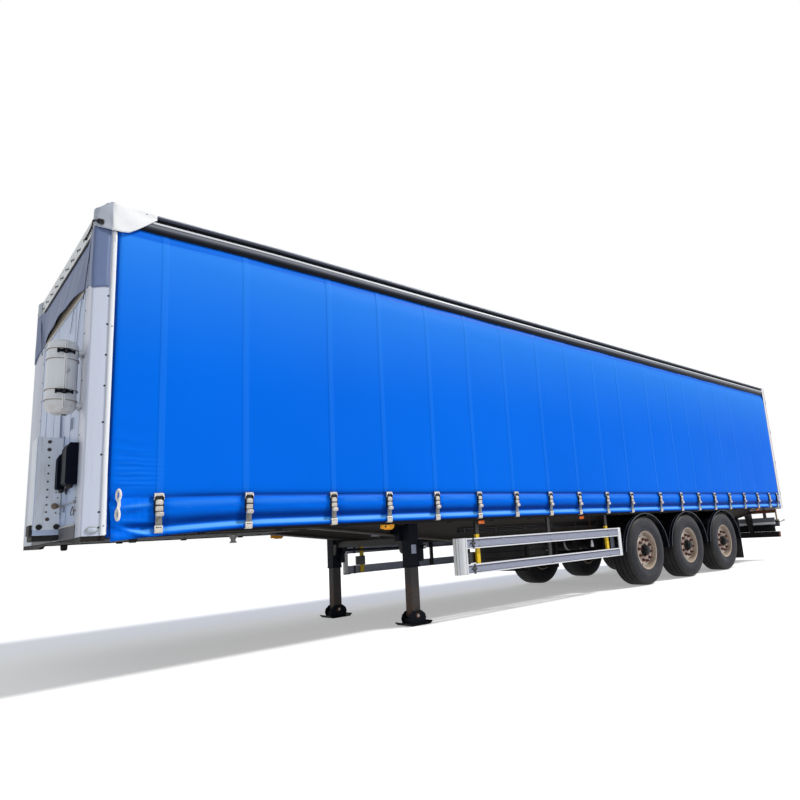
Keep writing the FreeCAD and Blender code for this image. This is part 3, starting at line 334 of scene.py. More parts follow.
def bareMetal(name, colour, rough, brushed=(1, 1, 1), dirt=0.25, rust=0.0, metal=0.85):
    paint = Paint(name)
    lines = paint.noise(60.0, 4.0, 0.6, stretch=brushed)
    cloud = paint.noise(3.2, 5.0)
    paint.base = paint.mix(lines.step(0.3, 0.8) * 0.35, colour, tone(105, 106, 108))
    grime = cloud.step(0.48, 0.75) * dirt
    paint.coat(grime, tone(92, 84, 72))
    if rust:
        spots = paint.noise(14.0, 7.0, 0.7).step(0.58, 0.68) * rust
        paint.coat(spots, tone(118, 66, 38))
        grime = (grime + spots).clamped()
    paint.bump(lines, 0.1, 0.001)
    return paint.finish(colour=paint.base, rough=(rough + grime * 0.3).clamped(),
        metal=(metal - grime * 0.6).clamped())


def blackRubber(name, colour=(0.018, 0.018, 0.019, 1), dusty=0.5, rough=0.72):
    paint = Paint(name)
    grain = paint.noise(120.0, 5.0, 0.6)
    cloud = paint.noise(3.5, 6.0, 0.6)
    dust = (cloud.step(0.38, 0.72) * 0.7 + paint.facing("Z").step(0.3, 1.0) * 0.5) * dusty
    paint.base = paint.mix(dust.clamped(), colour, tone(112, 106, 98))
    paint.bump(grain, 0.25, 0.0012)
    return paint.finish(colour=paint.base, rough=(rough + dust * 0.2).clamped(), specular=0.35)


def plastic(name, colour, dirt, rough=0.4, amount=0.4):
    paint = Paint(name)
    cloud = paint.noise(4.0, 6.0)
    fine = paint.noise(60.0, 5.0, 0.6)
    low = paint.attribute("grime")
    stain = (cloud.step(0.46, 0.74) * amount + low * fine.step(0.3, 0.62) * 0.9).clamped()
    paint.base = paint.mix(stain, colour, dirt)
    paint.bump(fine, 0.1, 0.001)
    return paint.finish(colour=paint.base, rough=rough + stain * 0.3)


def caseShell(name):
    # White moulded case, dirty towards its foot.
    paint = Paint(name)
    cloud = paint.noise(4.0, 6.0)
    fine = paint.noise(26.0, 7.0, 0.65, stretch=(1, 1, 0.6))
    foot = 1 - paint.axis("Z").step(2.1, 2.235)
    stain = (foot * (0.25 + fine.step(0.4, 0.66) * 0.3) + fine.step(0.6, 0.76) * 0.3).clamped()
    paint.base = paint.mix(cloud.step(0.4, 0.75) * 0.25, tone(226, 229, 234), tone(204, 204, 202))
    paint.coat(stain * 0.8, tone(150, 126, 98))
    paint.bump(fine, 0.1, 0.001)
    return paint.finish(colour=paint.base, rough=0.36 + stain * 0.35)


def capCloth(name):
    # White vinyl with soft creases; the front face is grey as painted shade.
    paint = Paint(name)
    cloud = paint.noise(5.0, 5.0, 0.6)
    front = paint.axis("X").step(frontX - 0.094, frontX - 0.084)
    paint.base = paint.mix(cloud.step(0.4, 0.75) * 0.3, tone(250, 250, 251), tone(226, 228, 232))
    paint.coat(front * 0.9, tone(170, 178, 192))
    paint.bump(cloud, 0.2, 0.01)
    return paint.finish(colour=paint.base, rough=0.5, specular=0.25)


def railWithPaintedHighlights(name):
    # Dark extruded rail with painted light by height: painted highlight bands across the crown, a dark gap
    # line, and painted shade darkening the underside.
    paint = Paint(name)
    drop = paint.axis("X").step(at(1.6), at(0.0)) * 0.024
    height = paint.axis("Z") + drop - paint.noise(0.7, 2.0, 0.5, stretch=(0.3, 1, 1)) * 0.006
    paint.base = paint.mix(height.step(3.69, 3.715), tone(14, 16, 26), tone(62, 64, 74))
    for low, high, shade in ((3.71, 3.732, tone(124, 127, 136)), (3.738, 3.746, tone(92, 94, 102)),
            (3.752, 3.76, tone(214, 216, 222)), (3.774, 3.78, tone(34, 36, 46)),
            (3.805, 3.812, tone(58, 60, 72)), (3.824, 3.836, tone(134, 140, 154))):
        paint.coat(height.step(low, high), shade)
    paint.bump(paint.noise(30.0, 4.0), 0.03, 0.0006)
    return paint.finish(colour=paint.base, rough=0.36, specular=0.1)


def tyreWall(name):
    # Side wall: dusty grey rubber with faint streaks and a fine grain.
    paint = Paint(name)
    cloud, fine = paint.noise(3.0, 5.0, 0.6), paint.noise(70.0, 5.0, 0.7)
    paint.base = paint.mix(cloud.step(0.3, 0.7), tone(42, 43, 48), tone(62, 62, 67))
    paint.coat(fine.step(0.5, 0.75) * 0.5, tone(84, 83, 84))
    paint.bump(fine, 0.25, 0.0012)
    return paint.finish(colour=paint.base, rough=0.66 + fine * 0.15, specular=0.2)


def rustyLeg(name):
    # Inner leg tube: dark with old grease above, rust-brown bare steel below.
    paint = Paint(name)
    fine = paint.noise(22.0, 7.0, 0.65)
    cloud = paint.noise(7.0, 5.0)
    low = (1 - (paint.axis("Z") + cloud * 0.2).step(0.42, 0.62)) * (0.25
        + paint.facing("X").math("ABSOLUTE") * 0.75)
    paint.base = paint.mix(fine.step(0.3, 0.7), tone(34, 32, 34), tone(54, 48, 46))
    paint.coat((low * fine.step(0.35, 0.6)).clamped() * 0.8, tone(86, 60, 46))
    paint.bump(fine, 0.2, 0.001)
    return paint.finish(colour=paint.base, rough=0.55 + fine * 0.2)


def postYellow(name, middle):
    # Yellow uprights; the middle one, deep under the body, is painted very dark as a painted shadow.
    paint = Paint(name)
    cloud = paint.noise(9.0, 6.0, 0.65)
    middlePaintedShadow = 1 - (paint.axis("X") - middle).math("ABSOLUTE").step(0.1, 0.12)
    paint.base = paint.mix(cloud.step(0.52, 0.75) * 0.5, tone(240, 198, 6), tone(150, 116, 44))
    paint.coat(cloud.step(0.66, 0.7) * 0.8, tone(70, 48, 30))
    paint.coat(middlePaintedShadow, tone(22, 20, 20))
    paint.coat(paint.axis("Z").step(0.945, 0.955), tone(22, 20, 21))
    paint.bump(cloud, 0.15, 0.001)
    return paint.finish(colour=paint.base, rough=0.42 + cloud * 0.12)


def webbingCloth(name, colour, dirt):
    paint = Paint(name)
    ribs = paint.waves(260.0, "X") * 0.5 + paint.waves(340.0, "Z") * 0.5
    cloud = paint.noise(16.0, 6.0, 0.65)
    paint.base = paint.mix(cloud.step(0.42, 0.7) * 0.6, colour, dirt)
    paint.coat(ribs * 0.18, tone(120, 118, 112))
    paint.bump(ribs, 0.5, 0.0008)
    return paint.finish(colour=paint.base, rough=0.82, specular=0.2)


def lens(name, colour, deep):
    paint = Paint(name)
    prisms = paint.waves(150.0, "X") * paint.waves(150.0, "Z")
    paint.base = paint.mix(prisms, colour, deep)
    paint.coat(paint.noise(30.0, 4.0).step(0.5, 0.8) * 0.2, tone(120, 90, 60))
    paint.bump(prisms, 0.5, 0.002)
    return paint.finish(colour=paint.base, rough=0.3, specular=0.2)


def plyBoard(name):
    paint = Paint(name)
    grain = paint.noise(14.0, 6.0, 0.6, stretch=(0.08, 1, 1), warp=0.6)
    mesh = paint.waves(110.0, "X") * paint.waves(110.0, "Y")
    paint.base = paint.mix(grain, tone(72, 50, 36), tone(106, 78, 54))
    paint.coat(paint.noise(2.0, 6.0).step(0.5, 0.75) * 0.5, tone(120, 108, 92))
    paint.bump(mesh, 0.4, 0.001)
    return paint.finish(colour=paint.base, rough=0.6)


# Painted metals: screen colour of the paint, that of its dirt, roughness, dust and what else they have.
painted = {"railGrey": (164, 168, 186, 124, 124, 132, 0.4, 0.25, {"streaks": 0.3}),
    "railShade": (72, 76, 92, 88, 88, 96, 0.45, 0.25, {}), "rimBarrel": (182, 164, 146, 92, 76, 64, 0.5,
    0.75, {"streaks": 0.2}), "rimBrown": (178, 158, 144, 104, 84, 72, 0.55, 0.5, {}),
    "hubGrey": (30, 32, 38, 18, 18, 20, 0.4, 0.4, {"specular": 0.15}),
    "carrierGrey": (112, 116, 124, 84, 80, 76, 0.5, 0.35, {"streaks": 0.3}),
    "edgeBeige": (176, 152, 116, 110, 92, 72, 0.5, 0.4, {}),
    "armBeige": (168, 148, 116, 96, 78, 60, 0.5, 0.5, {"rust": 0.3}),
    "coverNavy": (12, 16, 30, 26, 29, 42, 0.45, 0.2, {"specular": 0.06}),
    "gapBrown": (140, 130, 116, 96, 90, 80, 0.6, 0.3, {}), "seamBrown": (120, 104, 84, 86, 70, 54, 0.6, 0.3,
    {}), "guardEdge": (236, 236, 238, 180, 176, 170, 0.35, 0.3, {"streaks": 0.3}),
    "capWhite": (242, 242, 242, 160, 156, 148, 0.4, 0.3, {"streaks": 0.35}),
    "beadRust": (112, 68, 54, 70, 58, 52, 0.8, 0.4, {}), "nutRust": (86, 50, 44, 48, 34, 32, 0.7, 0.4, {}),
    "hubBlack": (10, 10, 12, 44, 41, 38, 0.4, 0.4, {"chips": 0.3, "specular": 0.12}),
    "legPaint": (18, 21, 30, 48, 46, 46, 0.5, 0.3, {"rust": 0.2, "specular": 0.08}),
    "legBrown": (34, 31, 30, 84, 74, 64, 0.55, 0.45, {"rust": 0.5}),
    "labelPale": (150, 156, 176, 80, 80, 88, 0.4, 0.5, {"chips": 0.9, "streaks": 0.6}),
    "guardOrange": (255, 172, 0, 150, 100, 40, 0.45, 0.4, {"chips": 0.5}),
    "edgeGrey": (60, 66, 80, 92, 94, 100, 0.32, 0.3, {}), "frontPaint": (184, 200, 230, 150, 148, 146, 0.34,
    0.25, {"chips": 0.5, "streaks": 0.4}), "postPaint": (200, 206, 222, 160, 158, 154, 0.32, 0.16,
    {"streaks": 0.2}), "whiteEdge": (240, 242, 246, 170, 166, 158, 0.3, 0.1, {}),
    "paleTrim": (196, 194, 190, 150, 138, 120, 0.4, 0.4, {}),
    "seamGrey": (140, 150, 170, 110, 110, 112, 0.4, 0.3, {}),
    "sillBrown": (78, 78, 84, 112, 98, 84, 0.5, 0.5, {"rust": 0.5}),
    "consolePaint": (230, 236, 246, 150, 144, 138, 0.38, 0.35, {"chips": 0.6, "streaks": 0.5}),
    "boltDark": (66, 58, 56, 96, 70, 54, 0.5, 0.4, {"rust": 0.6}),
    "chassis": (30, 29, 30, 66, 60, 56, 0.6, 0.45, {"rust": 0.4, "chips": 0.3, "streaks": 0.25,
    "specular": 0.1}), "chassisWeb": (78, 75, 71, 96, 88, 80, 0.6, 0.5,
    {"rust": 0.4, "chips": 0.5, "streaks": 0.3, "specular": 0.1}),
    "sillPaint": (72, 76, 84, 120, 112, 100, 0.45, 0.4, {"rust": 0.5}),
    "sillDark": (40, 37, 36, 70, 60, 52, 0.6, 0.4, {"rust": 0.3, "specular": 0.1}),
    "rustSteel": (96, 54, 38, 58, 36, 28, 0.8, 0.5, {"rust": 0.6}),
    "rim": (232, 224, 212, 122, 98, 74, 0.45, 0.55, {"rust": 0.9, "chips": 0.8, "streaks": 0.3}),}
finish = {name: paintedMetal(name, tone(*row[:3]), tone(*row[3:6]), row[6], row[7], **row[8]) for name,
    row in painted.items()}
finish.update({"amberDeep": lens("amberDeepLens", tone(255, 84, 0), tone(206, 60, 0)),
    "railPaintedHighlights": railWithPaintedHighlights("railPaintedHighlightsPaint"), "loopWhite": webbingCloth("loopWebbing", tone(246, 242, 234),
    tone(190, 176, 150)), "ropeBlue": webbingCloth("ropeBlueCloth", tone(84, 92, 116), tone(60, 64, 82)),
    "legInner": rustyLeg("legInnerPaint"), "rubberGrey": blackRubber("greyRubber", tone(64, 66, 74), 0.5),
    "curtain": curtainCloth("curtainCloth", tone(0, 112, 240), tone(0, 98, 222), tone(60, 150, 248)),
    # Darker blue cloth for the rolled curtain edges, standing for painted shade along the curtain's ends.
    "curtainEdgeShade": curtainCloth("curtainEdgeCloth", tone(0, 60, 150), tone(0, 48, 126), tone(20, 96, 200)),
    "capVinyl": capCloth("capVinyl"), "roofVinyl": vinyl("roofVinyl", tone(232, 234, 236),
    # The grey tarp's tone is partly the cloth's own blue-grey and partly painted shade, darker and bluer
    # than the cloth in full light.
    tone(172, 172, 168), 0.4), "greyTarp": vinyl("greyTarp", tone(102, 117, 154), tone(80, 92, 120), 0.35),
    "aluminium": bareMetal("aluminium", tone(206, 208, 214), 0.36, (0.03, 1, 1), 0.15, metal=0.75),
    "galvanised": bareMetal("galvanised", tone(160, 163, 166), 0.45, (1, 1, 1), 0.3, 0.15),
    "steel": bareMetal("steel", tone(150, 150, 150), 0.35, (1, 1, 0.1), 0.3, 0.2),
    "buckle": bareMetal("buckleMetal", tone(222, 214, 202), 0.42, (1, 1, 1), 0.35, 0.22, 0.2),
    "tyre": tyreWall("tyreRubber"), "tread": blackRubber("treadRubber", tone(20, 20, 22), 0.18, 0.62),
    "rubber": blackRubber("blackRubber", tone(26, 26, 28), 0.25),
    "blackPlastic": plastic("blackPlastic", tone(30, 32, 38), tone(80, 80, 82), 0.38, 0.3),
    "blackGloss": plastic("blackGloss", tone(16, 18, 24), tone(70, 72, 78), 0.22, 0.25),
    "caseWhite": caseShell("caseWhite"), "rope": webbingCloth("ropeFibre", tone(30, 31, 36),
    tone(70, 68, 64)), "webbing": webbingCloth("webbing", tone(150, 148, 142), tone(96, 92, 84)),
    "paleWebbing": webbingCloth("paleWebbing", tone(226, 220, 206), tone(170, 150, 116)),
    "yellow": postYellow("guardYellow", at(5.4325)), "amber": lens("amberLens", tone(255, 122, 0),
    tone(226, 84, 0)), "red": lens("redLens", tone(196, 16, 14), tone(120, 6, 6)),
    "clear": lens("clearLens", tone(206, 214, 226), tone(150, 160, 176)), "plywood": plyBoard("plywood"),
    # Near-black finish for dark parts and holes, also laid where there is only shade, as painted shade.
    "dark": blackRubber("darkGap", tone(10, 11, 13), 0.1),})
print("finishes:", len(finish))


class Build:
    # Gathers rigid shapes with their finishes, then makes one mesh piece of them.
    def __init__(self, name, origin=0.0):
        self.name, self.origin, self.points, self.faces, self.tags, self.finishes = name, origin, [], [], [
            ], []

    def add(self, points, faces, coat):
        start = len(self.points)
        if coat not in self.finishes:
            self.finishes.append(coat)
        self.points.extend((self.origin + x, y, z) for x, y, z in points)
        self.faces.extend(tuple(start + i for i in face) for face in faces)
        self.tags.extend([self.finishes.index(coat)] * len(faces))

    def box(self, low, high, coat, bevel=0.003):
        # Box with cut corners and edges: each face, cut edge and cut corner looks one way.
        low, high = Vector(low), Vector(high)
        mid, half = (low + high) / 2, (high - low) / 2
        b = min(bevel, min(half) * 0.6)
        corners = [(axis, signs) for axis in range(3) for signs in product((-1, 1), repeat=3)]
        points = [Vector([signs[k] * (half[k] - b * (k != axis)) for k in range(3)]) for axis,
            signs in corners]
        faces = []
        for way in product((-1, 0, 1), repeat=3):
            if any(way):
                group = [i for i, (axis, signs) in enumerate(corners) if way[axis] and all(w in (0, s) for w,
                    s in zip(way, signs))]
                centre = sum((points[i] for i in group), Vector()) / len(group)
                across = Vector(way).orthogonal()
                up = Vector(way).cross(across)
                faces.append(sorted(group, key=lambda i: atan2((points[i] - centre).dot(up),
                    (points[i] - centre).dot(across))))
        self.add([p + mid for p in points], faces, coat)

    def blocks(self, *rows):
        # Boxes, each a row of two x, two y and two z values in any order, its finish and its bevel.
        for *spans, coat, bevel in rows:
            low, high = zip(*(sorted(spans[k:k + 2]) for k in (0, 2, 4)))
            self.box(low, high, coat, bevel)

    def turned(self, outline, centre, axis, coat, steps=32):
        # Revolves (along, radius) pairs about an axis through a centre. The outline closes on itself.
        along = Vector(axis).normalized()
        across = along.orthogonal().normalized()
        side = along.cross(across)
        points = []
        for i in range(steps):
            ray = across * cos(tau * i / steps) + side * sin(tau * i / steps)
            points += [Vector(centre) + along * a + ray * r for a, r in outline]
        self.add(points, gridFaces(steps, len(outline)), coat)

    def rod(self, start, end, radius, coat, sides=12):
        start, end = Vector(start), Vector(end)
        length, b = (end - start).length, radius * 0.15
        outline = [(0, 0), (0, radius - b), (b, radius), (length - b, radius), (length, radius - b),
            (length, 0)]
        self.turned(outline, start, end - start, coat, sides)

    def pipe(self, points, radius, coat, sides=8, flat=1.0, closed=False):
        # Round or flattened bar along a run of points.
        points = [Vector(p) for p in points]
        n = len(points)
        rings, up = [], None
        for i, point in enumerate(points):
            before = points[i - 1] if i or closed else point
            after = points[(i + 1) % n] if i < n - 1 or closed else point
            along = (after - before).normalized()
            up = up or along.orthogonal().normalized()
            up = (up - along * up.dot(along)).normalized()
            side = along.cross(up) * flat
            rings += [point + (up * cos(tau * k / sides) + side * sin(tau * k / sides)) * radius
                for k in range(sides)]
        faces = gridFaces(n, sides, closed)
        if not closed:
            faces += [tuple(range(sides)), tuple((n - 1) * sides + k for k in reversed(range(sides)))]
        self.add(rings, faces, coat)

    def strip(self, outline, push, coat):
        # Closed outline of 3-D points pushed along a vector.
        outline = [Vector(p) for p in outline]
        n = len(outline)
        faces = gridFaces(2, n, False) + [tuple(range(n)), tuple(range(n, 2 * n))[::-1]]
        self.add(outline + [p + Vector(push) for p in outline], faces, coat)

    def ribbon(self, points, wide, thick, coat):
        # Flat webbing: a centre line with its width direction, thickness square to both.
        points, reach, n = [Vector(p) for p in points], Vector(wide) / 2, len(points)
        rows = []
        for i, point in enumerate(points):
            along = points[min(i + 1, n - 1)] - points[max(i - 1, 0)]
            out = along.cross(Vector(wide)).normalized() * thick / 2
            rows += [point - reach - out, point + reach - out, point + reach + out, point - reach + out]
        faces = gridFaces(n, 4, False) + [(0, 1, 2, 3), (n * 4 - 1, n * 4 - 2, n * 4 - 3, n * 4 - 4)]
        self.add(rows, faces, coat)

    def mirror(self):
        # Adds the same shapes on the other side of the vehicle.
        n = len(self.points)
        self.points += [(x, -y, z) for x, y, z in self.points]
        self.faces += [tuple(n + i for i in face[::-1]) for face in self.faces]
        self.tags += self.tags
        return self

    def object(self, angle=38):
        mesh = bpy.data.meshes.new(self.name)
        mesh.from_pydata(self.points, [], self.faces)
        for name in self.finishes:
            mesh.materials.append(finish[name])
        mesh.polygons.foreach_set("material_index", self.tags)
        work = bmesh.new()
        work.from_mesh(mesh)
        bmesh.ops.remove_doubles(work, verts=work.verts, dist=1e-6)
        bmesh.ops.recalc_face_normals(work, faces=work.faces)
        work.to_mesh(mesh)
        work.free()
        smooth(mesh, angle)
        return newObject(self.name, mesh)

    def piece(self, body, slot, replaced=(), angle=38):
        return place(self.object(angle), body, slot, replaced)


def place(piece, body, slot, replaced=()):
    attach(piece, body)
    for node in replaced:
        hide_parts(node)
    return piece


def setFinish(nodeNames, coat):
    for name in nodeNames:
        mesh = nodes[name].data
        mesh.materials.clear()
        mesh.materials.append(finish[coat])


def sheetObject(name, rows, coats, thickness=0.0, attributes=None, tags=None):
    # Grid of points, a row at a time, made a sheet with its own attributes.
    high, wide = len(rows), len(rows[0])
    points = [tuple(p) for row in rows for p in row]
    faces = [(j * wide + i, j * wide + i + 1, (j + 1) * wide + i + 1,
        (j + 1) * wide + i) for j in range(high - 1) for i in range(wide - 1)]
    mesh = bpy.data.meshes.new(name)
    mesh.from_pydata(points, [], faces)
    for coat in coats:
        mesh.materials.append(finish[coat])
    if tags is not None:
        mesh.polygons.foreach_set("material_index", tags)
    smooth(mesh)
    for key, values in (attributes or {}).items():
        layer = mesh.attributes.new(key, "FLOAT", "POINT")
        layer.data.foreach_set("value", [float(v) for v in values])
    piece = newObject(name, mesh)
    if thickness:
        shell = piece.modifiers.new("thickness", "SOLIDIFY")
        shell.thickness = thickness
        shell.offset = -1.0
    return piece


# Repeats made with geometry nodes

class Grower:
    # A geometry tree with named inputs, its result taken as a plain mesh.
    def __init__(self, name):
        self.tree = bpy.data.node_groups.new(name, "GeometryNodeTree")
        self.tree.interface.new_socket(name="Geometry", in_out="INPUT", socket_type="NodeSocketGeometry")
        self.tree.interface.new_socket(name="Geometry", in_out="OUTPUT", socket_type="NodeSocketGeometry")
        self.entry = self.tree.nodes.new("NodeGroupInput")
        self.exit = self.tree.nodes.new("NodeGroupOutput")

    def take(self, name, kind, default=None):
        item = self.tree.interface.new_socket(name=name, in_out="INPUT", socket_type="NodeSocket" + kind)
        if default is not None:
            item.default_value = default
        return Wire(self.tree, self.entry.outputs[name])

    def out(self, kind, settings=None, inputs=None, output=0):
        node = addNode(self.tree, kind, settings, inputs)
        return Wire(self.tree, node.outputs[output])

    def close(self, instances):
        solid = self.out("GeometryNodeRealizeInstances", None, {0: instances})
        coat = self.take("Finish", "Material")
        last = self.out("GeometryNodeSetMaterial", None, {"Geometry": solid, "Material": coat})
        self.tree.links.new(last.socket, self.exit.inputs[0])
        return self

    def grow(self, name, base, values, coat, angle=38):
        # Runs the tree on a base mesh and returns a plain mesh object.
        carrier = newObject(name + "Base", base)
        growth = carrier.modifiers.new("growth", "NODES")
        growth.node_group = self.tree
        wanted = dict(values)
        wanted["Finish"] = finish[coat]
        for item in self.tree.interface.items_tree:
            if item.item_type == "SOCKET" and item.in_out == "INPUT" and item.name in wanted:
                growth[item.identifier] = wanted[item.name]
        carrier.update_tag()
        depsgraph = bpy.context.evaluated_depsgraph_get()
        mesh = bpy.data.meshes.new_from_object(carrier.evaluated_get(depsgraph))
        mesh.name = name
        bpy.data.objects.remove(carrier)
        smooth(mesh, angle)
        return newObject(name, mesh)


def outward(points):
    # Directions away from the middle of the vehicle.
    return [(0, copysign(1, point[1]), 0) for point in points]


def pointMesh(name, points, normals=None, sizes=None):
    # Bare points that carry the direction and size of what grows on them.
    mesh = bpy.data.meshes.new(name)
    mesh.from_pydata(points, [], [])
    normals = normals if isinstance(normals, list) else [normals or (0, 0, 1)] * len(points)
    layer = mesh.attributes.new("aim", "FLOAT_VECTOR", "POINT")
    layer.data.foreach_set("vector", [c for n in normals for c in n])
    layer = mesh.attributes.new("size", "FLOAT", "POINT")
    layer.data.foreach_set("value", sizes or [1.0] * len(points))
    return mesh


def aimedTree(name, shape):
    # Instances a small shape on each point, turned to the point's own direction.
    grower = Grower(name)
    geometry = Wire(grower.tree, grower.entry.outputs["Geometry"])
    item = shape(grower)
    aim = grower.out("GeometryNodeInputNamedAttribute", {"data_type": "FLOAT_VECTOR"}, {"Name": "aim"})
    size = grower.out("GeometryNodeInputNamedAttribute", {"data_type": "FLOAT"}, {"Name": "size"})
    seed = grower.take("Seed", "Int", 1)
    turn = grower.out("FunctionNodeAlignRotationToVector", {"axis": "Z"}, {"Vector": aim})
    spin = grower.out("FunctionNodeRandomValue", {"data_type": "FLOAT"}, {2: 0.0, 3: tau, "Seed": seed}, 1)
    local = grower.out("ShaderNodeCombineXYZ", None, {"Z": spin})
    local = grower.out("FunctionNodeEulerToRotation", None, {0: local})
    turn = grower.out("FunctionNodeRotateRotation", {"rotation_space": "LOCAL"}, {0: turn, 1: local})
    points = grower.out("GeometryNodeMeshToPoints", None, {0: geometry})
    grown = grower.out("GeometryNodeInstanceOnPoints", None,
        {"Points": points, "Instance": item, "Rotation": turn, "Scale": size})
    return grower.close(grown)


def domeShape(grower):
    # Rivet or pan head: a squashed ball on the surface.
    radius = grower.take("Radius", "Float", 0.006)
    height = grower.take("Height", "Float", 0.4)
    ball = grower.out("GeometryNodeMeshUVSphere", None, {"Segments": 8, "Rings": 4, "Radius": radius})
    scale = grower.out("ShaderNodeCombineXYZ", None, {"X": 1.0, "Y": 1.0, "Z": height})
    return grower.out("GeometryNodeTransform", None, {"Geometry": ball, "Scale": scale})


def nutShape(grower):
    # Hexagon nut with its washer and the end of its bolt.
    radius = grower.take("Radius", "Float", 0.01)
    height = grower.take("Height", "Float", 0.01)

    def ring(sides, wide, tall, base):
        body = grower.out("GeometryNodeMeshCylinder", None, {"Vertices": sides, "Radius": radius * wide,
            "Depth": height * tall})
        lift = grower.out("ShaderNodeCombineXYZ", None, {"Z": height * (base + tall / 2)})
        return grower.out("GeometryNodeTransform", None, {"Geometry": body, "Translation": lift})
    join = grower.tree.nodes.new("GeometryNodeJoinGeometry")
    for part in (ring(16, 1.25, 0.2, -0.05), ring(6, 1.0, 0.9, 0.1), ring(10, 0.5, 0.5, 0.9)):
        grower.tree.links.new(part.socket, join.inputs[0])
    return Wire(grower.tree, join.outputs[0])


rivetTree = aimedTree("rivets", domeShape)
nutTree = aimedTree("nuts", nutShape)


def studs(tree, name, points, normals, radius, height, coat, body, slot, seed):
    values = {"Radius": radius, "Height": height, "Seed": seed}
    return place(tree.grow(name, pointMesh(name + "Points", points, normals), values, coat), body, slot)


def rivets(*details):
    return studs(rivetTree, *(details + (3,))[:9])


def nuts(*details):
    return studs(nutTree, *(details + (5,))[:9])


def copyTree():
    # Instances a modelled object on each point of the base mesh.
    grower = Grower("copies")
    geometry = Wire(grower.tree, grower.entry.outputs["Geometry"])
    model = grower.take("Model", "Object")
    item = grower.out("GeometryNodeObjectInfo", {"transform_space": "ORIGINAL"}, {"Object": model},
        "Geometry")
    mirror = grower.take("Mirror", "Float", 1.0)
    seed = grower.take("Seed", "Int", 1)
    tilt = grower.out("FunctionNodeRandomValue", {"data_type": "FLOAT"}, {2: -0.02, 3: 0.02, "Seed": seed},
        1)
    turn = grower.out("ShaderNodeCombineXYZ", None, {"Y": tilt})
    scale = grower.out("ShaderNodeCombineXYZ", None, {"X": 1.0, "Y": mirror, "Z": 1.0})
    points = grower.out("GeometryNodeMeshToPoints", None, {0: geometry})
    grown = grower.out("GeometryNodeInstanceOnPoints", None,
        {"Points": points, "Instance": item, "Rotation": turn, "Scale": scale})
    flipped = grower.out("GeometryNodeRealizeInstances", None, {0: grown})
    mirrored = grower.out("FunctionNodeCompare", {"data_type": "FLOAT", "operation": "LESS_THAN"},
        {0: mirror, 1: 0.0})
    return grower.close(grower.out("GeometryNodeFlipFaces", None, {"Mesh": flipped, "Selection": mirrored}))


strapTree = copyTree()

# Side curtains

curtainPlan = {"strapStations": (0.512, 1.226, 2.119, 2.752, 3.442, 4.086, 4.748, 5.452, 6.125, 6.803, 7.462,
    8.338, 9.059, 9.695, 10.342, 10.988, 11.68, 12.38, 13.02, 13.44), "columnPitch": 0.062, "creaseZ": 1.418,
    "profile": ((1.131, 0.013), (1.138, 0.019), (1.148, 0.0205), (1.158, 0.018), (1.172, 0.012),
    (1.186, 0.004), (1.2, -0.005), (1.21, -0.0095), (1.222, -0.0105), (1.232, -0.008), (1.246, -0.002),
    (1.268, 0.0065), (1.295, 0.014), (1.32, 0.0182), (1.345, 0.0198), (1.366, 0.018), (1.385, 0.0125),
    (1.4, 0.004), (1.409, -0.004), (1.416, -0.0098), (1.424, -0.0108), (1.436, -0.008), (1.455, -0.0042),
    (1.48, -0.0014), (1.52, 0.0)), "shade": ((1.131, -1.0), (1.142, -0.6), (1.152, -0.1), (1.16, 0.45),
    (1.168, 0.95), (1.18, 1.0), (1.19, 0.9), (1.197, 0.3), (1.204, -0.5), (1.212, -0.85), (1.234, -1.0),
    (1.25, -0.8), (1.272, -0.5), (1.296, -0.24), (1.318, -0.03), (1.34, 0.16), (1.36, 0.28), (1.384, 0.24),
    (1.398, -0.1), (1.408, -0.55), (1.42, -0.85), (1.432, -0.62), (1.45, -0.3), (1.48, -0.08), (1.52, 0.0)),
    "cornerDrop": 0.062, "cornerReach": 1.3, "cornerTuck": 0.03, "topInset": 0.024,}


def bell(value, centre, width):
    return np.exp(-((value - centre) / width) ** 2)


def hemRise(s):
    # The hem follows the slight camber of the body.
    return 0.012 * bell(s, 4.5, 3.0) - 0.008 * np.clip((s - 8.0) / 3.0, 0, 1)


